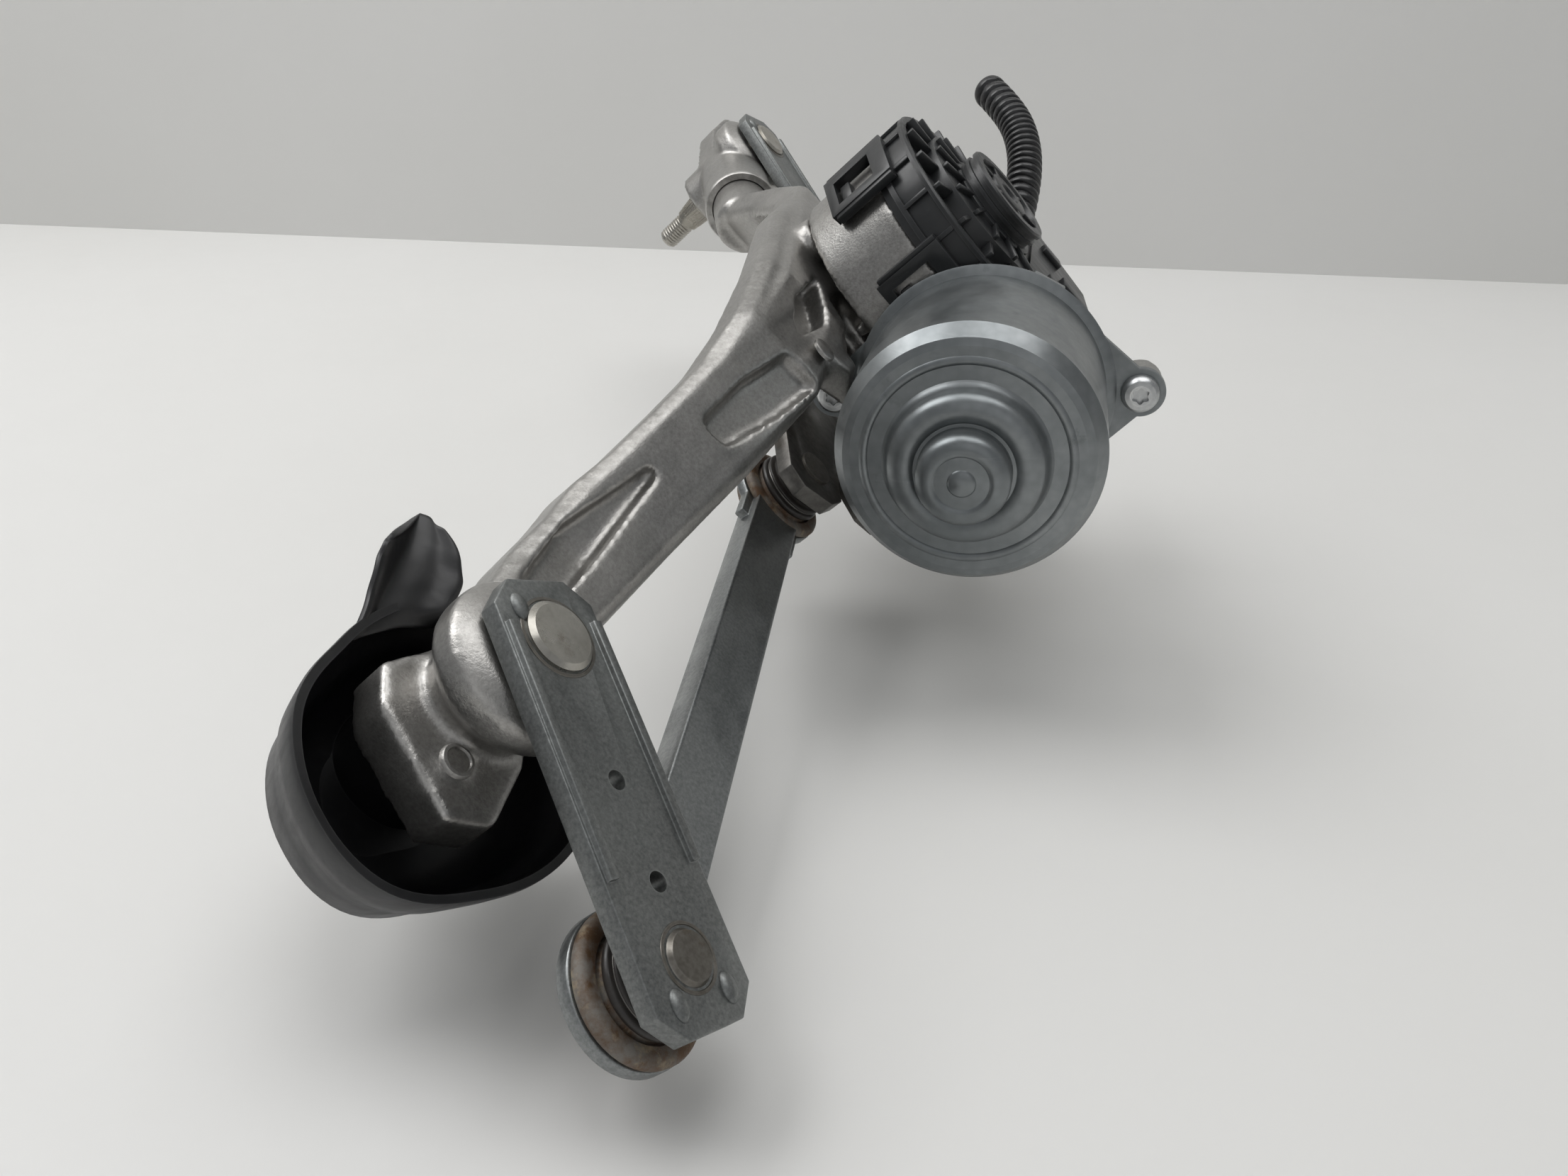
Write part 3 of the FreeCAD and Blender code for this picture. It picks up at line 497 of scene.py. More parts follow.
class Studio:
    """Bench, light and camera of the photograph."""

    def __init__(self, bench: float) -> None:
        """Keep the height of the bench.

        Args:
            bench: Height of the bench in metres.
        """
        self.bench = bench

    def build(self) -> None:
        """Make the camera, the bench and the lamps."""
        scene = bpy.context.scene
        scene.view_settings.view_transform = "Standard"
        self.camera()
        self.floor()
        self.world()
        self.lamp("window", 0.9, (-0.80, 0.25, 1.25), 11.5)
        self.lamp("ceiling", 1.2, (0.35, 0.30, 1.60), 11.5)
        self.lamp("bounce", 1.6, (0.2, -1.5, 0.9), 2.6)

    def camera(self) -> None:
        """Camera at the photograph's angle."""
        azimuth = math.radians(6.0)
        elevation = math.radians(28.0)
        ahead = Vector((-math.sin(azimuth) * math.cos(elevation),
                        math.cos(azimuth) * math.cos(elevation), -math.sin(elevation)))
        across = Vector((math.cos(azimuth), math.sin(azimuth), 0.0))
        upward = across.cross(ahead)
        data = bpy.data.cameras.new("camera")
        data.sensor_width = 36.0
        data.lens = 27.0
        data.clip_start = 0.01
        eye = bpy.data.objects.new("camera", data)
        bpy.context.scene.collection.objects.link(eye)
        turn = Matrix((across, upward, -ahead)).transposed()
        eye.matrix_world = Matrix.Translation((0.0995, -0.1809, 0.1438)) @ turn.to_4x4()
        bpy.context.scene.camera = eye

    def floor(self) -> None:
        """Pale painted bench."""
        bm = bmesh.new()
        bmesh.ops.create_grid(bm, x_segments=2, y_segments=2, size=7.0)
        mesh = bpy.data.meshes.new("bench")
        bm.to_mesh(mesh)
        bm.free()
        mesh.transform(Matrix.Translation((0.0, 0.0, self.bench)))
        bench = bpy.data.objects.new("bench", mesh)
        bpy.context.scene.collection.objects.link(bench)
        g = Graph("bench_paint")
        tone = g.blend(g.span(g.cloud(2.0, 3.0), 0.3, 0.7), (0.67, 0.665, 0.645), (0.71, 0.705, 0.69))
        mesh.materials.append(g.dress(tone, g.span(g.cloud(40.0), 0.3, 0.7, 0.5, 0.6)))
        self.backdrop(mesh.materials[0])

    def backdrop(self, paint: bpy.types.Material) -> None:
        """Pale wall behind the bench.

        Args:
            paint: Its paint.
        """
        bm = bmesh.new()
        bmesh.ops.create_grid(bm, x_segments=2, y_segments=2, size=3.0)
        mesh = bpy.data.meshes.new("backdrop")
        bm.to_mesh(mesh)
        bm.free()
        turn = Matrix.Rotation(math.radians(-4.0), 4, "Z") @ Matrix.Rotation(math.radians(90.0), 4, "X")
        mesh.transform(Matrix.Translation((0.02, 0.62, self.bench + 2.9)) @ turn)
        mesh.materials.append(paint)
        wall = bpy.data.objects.new("backdrop", mesh)
        bpy.context.scene.collection.objects.link(wall)

    def world(self) -> None:
        """Plain pale room light."""
        world = bpy.data.worlds.new("room")
        world.use_nodes = True
        shade = world.node_tree.nodes["Background"]
        shade.inputs["Color"].default_value = (0.86, 0.88, 0.90, 1.0)
        shade.inputs["Strength"].default_value = 0.34
        bpy.context.scene.world = world

    def lamp(self, name: str, size: float, place: tuple[float, float, float], power: float) -> None:
        """Soft square lamp that faces the part.

        Args:
            name: Name of the lamp.
            size: Side in metres.
            place: Where it hangs.
            power: Power in watts.
        """
        data = bpy.data.lights.new(name, "AREA")
        data.size = size
        data.energy = power
        lamp = bpy.data.objects.new(name, data)
        bpy.context.scene.collection.objects.link(lamp)
        aim = Vector((0.08, 0.15, 0.0)) - Vector(place)
        lamp.matrix_world = Matrix.Translation(place) @ aim.to_track_quat("-Z", "Y").to_matrix().to_4x4()


# Driving places of the part's source, in millimetres of the linkage frame
NEAR_DEG = -45.0
FAR_DEG = -36.0
LEVER = 60.0
FAR_Y = 330.0
SHAFT = Vector((38.0, 172.0, 0.0))
CRANK = 46.0
CRANK_NEAR_DEG = -74.0
CRANK_FAR_DEG = -38.0
LOW_BALL = -11.0
HIGH_BALL = 15.0
CASE_R = 33.0
CASE_TOP = 64.0
MOTOR_DEG = 80.0
MOTOR_OFFSET = 33.0
MOTOR_LEVEL = 54.0
LOBE_DEG = 52.0
LOBE_RADIUS = 40.5
CAN_R = 32.0
CAN_LENGTH = 56.0


def polar(centre: Vector, radius: float, deg: float, level: float) -> Vector:
    """Point round a spindle axis.

    Args:
        centre: Point on the axis.
        radius: Distance from it.
        deg: Angle in degrees.
        level: Height along the spindle.

    Returns:
        The point in the linkage frame.
    """
    turn = math.radians(deg)
    return Vector((centre.x + radius * math.cos(turn), centre.y + radius * math.sin(turn), level))


def motor_frame() -> Matrix:
    """Frame of the motor: z runs from the flange towards the can's end."""
    turn = math.radians(MOTOR_DEG)
    along = Vector((math.cos(turn), math.sin(turn), 0.0))
    side = Vector((math.sin(turn), -math.cos(turn), 0.0))
    flange = Vector((SHAFT.x, SHAFT.y, MOTOR_LEVEL)) + side * MOTOR_OFFSET - along * (CASE_R + 1.0)
    axes = Matrix((side, Vector((0.0, 0.0, 1.0)), -along)).transposed()
    return Matrix.Translation(flange) @ axes.to_4x4()


def revolve(bm: bmesh.types.BMesh, profile: list[tuple[float, float]], steps: int,
            place: Matrix, closed: bool = True) -> None:
    """Spin a profile of (radius, height) points about z and place it.

    Args:
        bm: Mesh that receives the shape.
        profile: Points of the profile.
        steps: Steps of the full turn.
        place: Where the shape goes.
        closed: Whether the profile is a closed loop.
    """
    verts = [bm.verts.new((radius, 0.0, high)) for radius, high in profile]
    edges = [bm.edges.new((verts[n], verts[n + 1])) for n in range(len(verts) - 1)]
    if closed:
        edges.append(bm.edges.new((verts[-1], verts[0])))
    before = set(bm.verts) - set(verts)
    bmesh.ops.spin(bm, geom=verts + edges, cent=(0, 0, 0), axis=(0, 0, 1), angle=math.tau,
                   steps=steps, use_merge=True)
    made = [vert for vert in bm.verts if vert not in before]
    bmesh.ops.remove_doubles(bm, verts=made, dist=1e-4)
    made = [vert for vert in bm.verts if vert not in before]
    bmesh.ops.transform(bm, matrix=place, verts=made)


def block(bm: bmesh.types.BMesh, size: tuple[float, float, float], place: Matrix, round_off: float) -> None:
    """Box with bevelled edges.

    Args:
        bm: Mesh that receives the box.
        size: Whole size along each axis.
        place: Where its centre goes.
        round_off: Width of the bevel.
    """
    made = bmesh.ops.create_cube(bm, size=1.0)["verts"]
    bmesh.ops.scale(bm, vec=size, verts=made)
    edges = list({edge for vert in made for edge in vert.link_edges})
    cut = bmesh.ops.bevel(bm, geom=edges, offset=round_off, segments=2, profile=0.5, affect="EDGES", material=-1)
    whole = list({vert for face in cut["faces"] for vert in face.verts} | {v for v in made if v.is_valid})
    bmesh.ops.transform(bm, matrix=place, verts=whole)


def swept(bm: bmesh.types.BMesh, stations: list[tuple[tuple[float, float, float], float, float]],
          corner: float) -> None:
    """Closed loft through eight-sided sections across the beam.

    Args:
        bm: Mesh that receives the shape.
        stations: Centre, half width along x and half height along z of each section.
        corner: Cut at each corner of a section.
    """
    rings = []
    for (cx, cy, cz), a, b in stations:
        c = corner
        ring = ((-a + c, -b), (a - c, -b), (a, -b + c), (a, b - c), (a - c, b), (-a + c, b), (-a, b - c), (-a, -b + c))
        verts = [bm.verts.new((cx + x, cy, cz + z)) for x, z in ring]
        rings.append([bm.edges.new((verts[n], verts[(n + 1) % 8])) for n in range(8)])
    for first, second in zip(rings, rings[1:]):
        bmesh.ops.bridge_loops(bm, edges=first + second)
    for ring in (rings[0], rings[-1]):
        bmesh.ops.contextual_create(bm, geom=ring)


def slab(bm: bmesh.types.BMesh, outline: list[tuple[float, float]], low: float, high: float) -> None:
    """Flat outline pushed up from low to high.

    Args:
        bm: Mesh that receives the shape.
        outline: Points in x and y.
        low: Height of its underside.
        high: Height of its top.
    """
    base = bm.faces.new([bm.verts.new((x, y, low)) for x, y in outline])
    made = bmesh.ops.extrude_face_region(bm, geom=[base], use_keep_orig=True)["geom"]
    bmesh.ops.translate(bm, vec=(0, 0, high - low), verts=[g for g in made if isinstance(g, bmesh.types.BMVert)])


def add_piece(name: str, bm: bmesh.types.BMesh, material: bpy.types.Material, body: Body,
              stands_for: tuple[str, ...] = (), sharp: float = 38.0, laid: bool = True,
              outward: bool = True) -> bpy.types.Object:
    """Make a finished piece of a bmesh.

    Args:
        name: Name of the piece.
        bm: Its mesh, which is freed.
        material: Its finish.
        body: Body that it rides on.
        stands_for: CAD nodes that it replaces.
        sharp: Angle past which an edge shades sharp.
        laid: Whether the mesh is in the linkage frame and still has to be laid down.
        outward: Whether the normals are recalculated.

    Returns:
        The placed object.
    """
    if outward:
        bmesh.ops.recalc_face_normals(bm, faces=bm.faces)
    mesh = bpy.data.meshes.new(name)
    bm.to_mesh(mesh)
    bm.free()
    if laid:
        mesh.transform(REST)
    mesh.materials.clear()
    mesh.materials.append(material)
    mesh.shade_smooth()
    mesh.set_sharp_from_angle(angle=math.radians(sharp))
    piece = bpy.data.objects.new(name, mesh)
    bpy.context.scene.collection.objects.link(piece)
    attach(piece, body.value)
    if stands_for:
        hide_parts(*stands_for)
    log.info("%s: %d faces", name, len(mesh.polygons))
    return piece


def merged_copy(node: str) -> bmesh.types.BMesh:
    """Copy of a CAD node's mesh with its loose triangles joined.

    Args:
        node: Name of the node.

    Returns:
        The joined mesh in the part's frame.
    """
    bm = bmesh.new()
    bm.from_mesh(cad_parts[node].data)
    bmesh.ops.remove_doubles(bm, verts=bm.verts, dist=1e-6)
    return bm


def settled(piece: bpy.types.Object) -> bpy.types.Mesh:
    """Mesh of a piece with its modifiers applied.

    Args:
        piece: The piece.

    Returns:
        The new mesh.
    """
    graph = bpy.context.evaluated_depsgraph_get()
    return bpy.data.meshes.new_from_object(piece.evaluated_get(graph))


@dataclass(frozen=True)
class CastSkin:
    """Cast piece whose edges are rounded as a casting's are."""

    node: str
    voxel: float = 0.0009
    passes: int = 5
    grown: bmesh.types.BMesh | None = None
    carved: bmesh.types.BMesh | None = None

    @staticmethod
    def as_model(name: str, bm: bmesh.types.BMesh, laid: bool) -> bpy.types.Object:
        """Scratch object of a bmesh.

        Args:
            name: Name of the object.
            bm: Its mesh, which is freed.
            laid: Whether it still has to be laid down.

        Returns:
            The object.
        """
        mesh = bpy.data.meshes.new(name)
        bmesh.ops.recalc_face_normals(bm, faces=bm.faces)
        bm.to_mesh(mesh)
        bm.free()
        if laid:
            mesh.transform(REST)
        model = bpy.data.objects.new(name, mesh)
        bpy.context.scene.collection.objects.link(model)
        return model

    def build(self, material: bpy.types.Material, body: Body, slot: Slot) -> bpy.types.Object:
        """Remesh and smooth a copy of the node.

        Args:
            material: Its finish.
            body: Body that it rides on.
            slot: Material slot of the record; not used.

        Returns:
            The piece that stands for the node.
        """
        bm = merged_copy(self.node)
        if self.grown is not None:
            extra = bpy.data.meshes.new("grown")
            self.grown.to_mesh(extra)
            extra.transform(REST)
            bm.from_mesh(extra)
        model = self.as_model(self.node + "_rough", bm, False)
        self.skin(model)
        cutter = None
        if self.carved is not None:
            cutter = self.as_model(self.node + "_carved", self.carved, True)
            self.skin(cutter)
            carve = model.modifiers.new("carve", "BOOLEAN")
            carve.operation = "DIFFERENCE"
            carve.solver = "MANIFOLD"
            carve.object = cutter
            self.skin(model)
        soften = model.modifiers.new("soften", "SMOOTH")
        soften.factor = 0.5
        soften.iterations = self.passes
        mesh = settled(model)
        for scratch in (model, cutter):
            if scratch is not None:
                bpy.data.objects.remove(scratch)
        bm = bmesh.new()
        bm.from_mesh(mesh)
        return add_piece(self.node + "_skin", bm, material, body, (self.node,), sharp=180.0,
                         laid=False, outward=False)


    def skin(self, model: bpy.types.Object) -> None:
        """Add a voxel skin to a scratch object.

        Args:
            model: The object.
        """
        skin = model.modifiers.new("skin", "REMESH")
        skin.mode = "VOXEL"
        skin.voxel_size = self.voxel


class BracketForms:
    """Forms of the cast beam: the wider web and the hollows of its top."""

    spigot: tuple[float, float, float] = (9.0, 268.0, -7.0)
    far_middle: tuple[float, float, float] = (0.0, FAR_Y, -17.0)
    sleeve: float = 44.0

    web: list[tuple[tuple[float, float, float], float, float]] = [
        ((2, 26, -17.5), 11.5, 8.0), ((6, 54, -9), 13.5, 8.2), ((13, 84, 8), 12.6, 7.2), ((15, 112, 23), 15.0, 7.2),
        ((14, 136, 28.5), 15.5, 6.2), ((12, 176, 28.5), 14.0, 6.2), ((13, 206, 27), 10.0, 7.0)]
    trough: list[tuple[tuple[float, float, float], float, float]] = [
        ((2, 32, -23.5), 8.5, 6.0), ((6, 54, -15.5), 10.5, 6.0), ((13, 84, 1.5), 9.6, 6.0), ((15, 108, 15), 11.5, 6.0)]
    scoop: list[tuple[tuple[float, float, float], float, float]] = [
        ((12, 82, 16.5), 4.5, 5.0), ((17, 98, 25.0), 6.5, 6.5), ((22, 112, 33.0), 6.0, 7.0)]
    hollow: list[tuple[tuple[float, float, float], float, float]] = [
        ((-2, 22, -6.5), 4.5, 5.0), ((0, 42, -5.0), 5.0, 5.0), ((5, 66, 4.4), 1.5, 2.5)]
    neck: list[tuple[tuple[float, float, float], float, float]] = [
        ((13, 214, 35.0), 3.0, 3.0), ((13, 232, 27.5), 4.5, 3.6), ((11, 250, 16.5), 4.0, 3.2)]
    corner: list[tuple[float, float]] = [(11, 130), (17, 121), (22, 132), (15, 152)]

    def grown(self) -> bmesh.types.BMesh:
        """Wider web of the beam.

        Returns:
            Its mesh in the linkage frame.
        """
        bm = bmesh.new()
        swept(bm, self.web, 2.6)
        return bm

    def carved(self) -> bmesh.types.BMesh:
        """Hollows cut into the beam.

        Returns:
            Their mesh in the linkage frame.
        """
        bm = bmesh.new()
        swept(bm, self.trough, 2.0)
        swept(bm, self.scoop, 1.5)
        swept(bm, self.hollow, 0.8)
        swept(bm, self.neck, 1.2)
        slab(bm, self.corner, 30.0, 48.0)
        return bm


    def trim(self, finishes: Finishes) -> None:
        """Make the foot's button, the ejector marks and the lip of the far sleeve.

        Args:
            finishes: Finishes of the part.
        """
        bm = bmesh.new()
        revolve(bm, [(0.0, -21.0), (3.5, -21.0), (3.5, -18.9), (3.2, -18.5), (2.6, -18.35), (2.4, -18.8),
                     (0.0, -18.8)], 40, Matrix.Translation((1.0, -16.0, 0.0)), closed=False)
        for x, y, radius in ((24.0, 120.5, 3.4), (11.5, 196.0, 3.0), (56.0, 142.0, 3.2)):
            revolve(bm, [(0.0, 33.5), (radius, 33.5), (radius, 34.35), (radius - 0.4, 34.6), (0.0, 34.6)], 32,
                    Matrix.Translation((x, y, 0.0)), closed=False)
        add_piece("bracket_cast_buttons", bm, finishes.alloy, Body.FRAME)
        start = Vector(self.spigot)
        axis = (Vector(self.far_middle) - start).normalized()
        mouth = Vector(self.far_middle) - axis * self.sleeve
        turn = axis.to_track_quat("Z", "X").to_matrix().to_4x4()
        bm = bmesh.new()
        revolve(bm, [(11.3, -0.6), (13.5, -0.6), (13.9, 0.0), (13.9, 1.3), (13.4, 1.9), (13.0, 2.0), (11.3, 0.4)],
                64, Matrix.Translation(mouth) @ turn)
        add_piece("far_sleeve_lip", bm, finishes.alloy, Body.FRAME)


@dataclass(frozen=True)
class EdgedCopy:
    """Rigid piece whose sharp edges get a small bevel."""

    node: str
    width: float = 0.00035
    angle: float = 34.0
    segments: int = 2

    def build(self, material: bpy.types.Material, body: Body, slot: Slot) -> bpy.types.Object:
        """Bevel a copy of the node.

        Args:
            material: Its finish.
            body: Body that it rides on.
            slot: Material slot of the record; not used.

        Returns:
            The piece that stands for the node.
        """
        bm = merged_copy(self.node)
        bmesh.ops.dissolve_limit(bm, angle_limit=math.radians(0.6), verts=bm.verts, edges=bm.edges)
        sharp = [e for e in bm.edges if e.is_manifold and e.calc_face_angle(0.0) > math.radians(self.angle)
                 and e.calc_length() > self.width * 1.2]
        bmesh.ops.bevel(bm, geom=sharp, offset=self.width, segments=self.segments, profile=0.5,
                        affect="EDGES", clamp_overlap=True, material=-1)
        return add_piece(self.node + "_edged", bm, material, body, (self.node,), laid=False, outward=False)


@dataclass(frozen=True)
class BallJoint:
    """Dust boot and rolled rim of one ball joint."""

    name: str
    centre: Vector
    level: float
    upwards: bool
    reach: float
    body: Body
    rusty: bool
    boot_r: float = 10.6
    steps: int = 56

    def build(self, finishes: Finishes) -> None:
        """Make the boot, its spring ring and the rim.

        Args:
            finishes: Finishes of the part.
        """
        flip = Matrix.Identity(4) if self.upwards else Matrix.Rotation(math.pi, 4, "X")
        place = Matrix.Translation((self.centre.x, self.centre.y, self.level)) @ flip
        top = self.reach
        r = self.boot_r
        profile = [(r - 1.6, 5.1), (r - 0.4, 5.2), (r, 5.7), (r, 6.6), (r - 0.5, 7.0), (r - 1.2, 7.2),
                   (r - 1.25, 7.5), (r - 0.7, 7.75), (r - 0.45, 8.1), (r - 0.6, 8.5), (r - 1.5, 8.8),
                   (r - 2.0, 9.1), (r - 2.4, top - 0.3), (r - 3.2, top - 0.02), (4.8, top - 0.02),
                   (4.5, top - 0.35), (4.7, top - 1.0), (6.4, top - 1.7), (7.0, 5.8), (7.0, 5.1)]
        bm = bmesh.new()
        revolve(bm, profile, self.steps, place)
        add_piece(self.name + "_bellows", bm, finishes.boot, self.body,
                  (self.name + "_boot",), sharp=60.0)
        bm = bmesh.new()
        ring = [(r - 1.3 + 0.42 * math.cos(n * math.tau / 8), 7.4 + 0.42 * math.sin(n * math.tau / 8))
                for n in range(8)]
        revolve(bm, ring, self.steps, place)
        add_piece(self.name + "_boot_spring", bm, finishes.crank, self.body)
        bm = bmesh.new()
        rim = [(11.9, 1.55), (13.5, 1.6), (14.0, 2.2), (14.05, 3.1), (13.6, 3.9), (12.9, 4.3), (12.0, 4.4),
               (10.6, 4.2), (10.4, 3.4), (11.9, 3.0)]
        revolve(bm, rim, self.steps, place)
        add_piece(self.name + "_rim", bm, finishes.rust if self.rusty else finishes.channel, self.body,
                  sharp=50.0)


@dataclass(frozen=True)
class Lever:
    """Small marks and rivets of one wiper lever."""

    name: str
    y: float
    deg: float
    body: Body
    nub_r: float = 2.3

    def build(self, finishes: Finishes) -> None:
        """Make the embossed nubs and the rings round the rivets.

        Args:
            finishes: Finishes of the part.
        """
        turn = Matrix.Translation((0, self.y, 0)) @ Matrix.Rotation(math.radians(self.deg), 4, "Z")
        bm = bmesh.new()
        for x, y in ((-6.2, -6.6), (LEVER + 6.4, -6.4), (LEVER + 6.6, 6.2)):
            made = bmesh.ops.create_uvsphere(bm, u_segments=20, v_segments=10, radius=self.nub_r)["verts"]
            bmesh.ops.scale(bm, vec=(1.25, 0.8, 0.5), verts=made)
            bmesh.ops.transform(bm, matrix=turn @ Matrix.Translation((x, y, 3.95)), verts=made)
        add_piece(self.name + "_nubs", bm, finishes.zinc, self.body)
        bm = bmesh.new()
        for x, radius in ((0.0, 7.5), (LEVER, 5.4)):
            groove = [(radius, 3.9), (radius + 0.9, 3.9), (radius + 0.8, 4.12), (radius + 0.2, 4.18)]
            revolve(bm, groove, 48, turn @ Matrix.Translation((x, 0, 0)))
        add_piece(self.name + "_coined_rings", bm, finishes.rivet, self.body)


@dataclass(frozen=True)
class SpindleEnd:
    """Threaded end and splined cone of one spindle."""

    name: str
    y: float
    body: Body
    top: float = -45.0
    length: float = 13.0
    pitch: float = 1.25

    def build(self, finishes: Finishes) -> None:
        """Make the thread's crests and the splines on the cone.

        Args:
            finishes: Finishes of the part.
        """
        bm = bmesh.new()
        place = Matrix.Translation((0, self.y, 0))
        turns = int((self.length - 2.0) / self.pitch)
        for n in range(turns):
            low = self.top - 1.2 - n * self.pitch
            revolve(bm, [(3.7, low), (4.25, low - self.pitch * 0.5), (3.7, low - self.pitch)], 40, place)
        add_piece(self.name + "_thread_crests", bm, finishes.shaft, self.body, sharp=30.0)
        bm = bmesh.new()
        for n in range(30):
            spline = Matrix.Rotation(n * math.tau / 30, 4, "Z") @ Matrix.Translation((5.15, 0, -39.5))
            lean = Matrix.Rotation(math.radians(7.0), 4, "Y")
            block(bm, (0.75, 0.5, 6.2), place @ spline @ lean, 0.12)
        add_piece(self.name + "_splines", bm, finishes.shaft, self.body, sharp=30.0)


@dataclass(frozen=True)
class MotorTrim:
    """Screws, plates and marks on the motor can."""

    head_r: float = 4.3
    star_r: float = 2.05
    points: int = 6

    def build(self, finishes: Finishes) -> None:
        """Make the star-socket screw heads and the can's small features.

        Args:
            finishes: Finishes of the part.
        """
        motor = motor_frame()
        bm = bmesh.new()
        for deg in (LOBE_DEG, LOBE_DEG + 180.0):
            turn = math.radians(deg)
            self.screw(bm, motor @ Matrix.Translation((LOBE_RADIUS * math.cos(turn), LOBE_RADIUS * math.sin(turn), 0)))
        add_piece("can_screw_heads", bm, finishes.screw, Body.FRAME, ("can_screws",), sharp=32.0)
        bm = bmesh.new()
        front = CAN_LENGTH - 3.2
        revolve(bm, [(23.0, front - 0.4), (23.5, front + 0.25), (24.3, front + 0.5), (25.1, front + 0.25),
                     (25.6, front - 0.4)], 96, motor)
        revolve(bm, [(20.6, front - 0.4), (19.4, front + 0.5), (18.6, front + 1.8), (18.3, front + 4.0),
                     (17.6, front + 5.6), (16.2, front + 6.6), (14.4, front + 6.9), (12.6, front + 6.7),
                     (11.6, front + 6.0), (11.2, front + 5.4)], 96, motor)
        cup = CAN_LENGTH + 9.0
        revolve(bm, [(9.6, cup - 6.0), (10.7, cup - 5.0), (10.9, cup - 1.6), (10.4, cup - 0.2), (9.2, cup + 0.8),
                     (7.4, cup + 1.1), (6.6, cup + 0.9), (6.2, cup + 0.5)], 96, motor)
        revolve(bm, [(0.0, cup + 1.3), (2.6, cup + 1.25), (3.1, cup + 0.9), (3.4, cup + 0.5), (0.0, cup + 0.5)],
                48, motor, closed=False)
        revolve(bm, [(CAN_R - 0.2, 1.4), (CAN_R + 2.3, 1.5), (CAN_R + 2.5, 2.6), (CAN_R + 1.5, 3.3),
                     (CAN_R - 0.2, 3.7)], 96, motor)
        add_piece("can_rolled_rings", bm, finishes.can, Body.FRAME, sharp=40.0)
        bm = bmesh.new()
        for deg in (112.0, 172.0, 292.0):
            tab = Matrix.Rotation(math.radians(deg), 4, "Z") @ Matrix.Translation((CAN_R + 0.6, 0, -1.2))
            block(bm, (2.4, 9.0, 3.2), motor @ tab, 0.5)
        add_piece("can_crimp_tabs", bm, finishes.can, Body.FRAME)

    def screw(self, bm: bmesh.types.BMesh, place: Matrix) -> None:
        """One pan head with its star recess.

        Args:
            bm: Mesh that receives the head.
            place: Foot of the screw on the flange.
        """
        revolve(bm, [(0.0, -6.0), (2.5, -6.0), (2.5, 2.05), (self.head_r + 0.7, 2.05), (self.head_r + 0.7, 2.8),
                     (self.head_r + 0.3, 4.2), (self.head_r - 0.4, 4.85), (2.7, 5.06), (2.7, 3.7), (0.0, 3.7)],
                48, place, closed=False)
        count = self.points * 6
        made = bmesh.ops.create_circle(bm, segments=count, radius=self.star_r + 0.6)["verts"]
        for n, vert in enumerate(made):
            wave = self.star_r + 0.28 * math.cos(n * self.points * math.tau / count)
            vert.co = vert.co.normalized() * wave
            vert.co.z = 5.06
        edges = [e for e in bm.edges if e.verts[0] in made and e.verts[1] in made]
        outer = bmesh.ops.extrude_edge_only(bm, edges=edges)["geom"]
        verts = [g for g in outer if isinstance(g, bmesh.types.BMVert)]
        for vert in verts:
            flat = Vector((vert.co.x, vert.co.y, 0.0)).normalized() * 2.7
            vert.co = Vector((flat.x, flat.y, 5.06))
        sunk = bmesh.ops.extrude_edge_only(bm, edges=edges)["geom"]
        low = [g for g in sunk if isinstance(g, bmesh.types.BMVert)]
        bmesh.ops.translate(bm, vec=(0, 0, -1.3), verts=low)
        bmesh.ops.transform(bm, matrix=place, verts=made + verts + low)


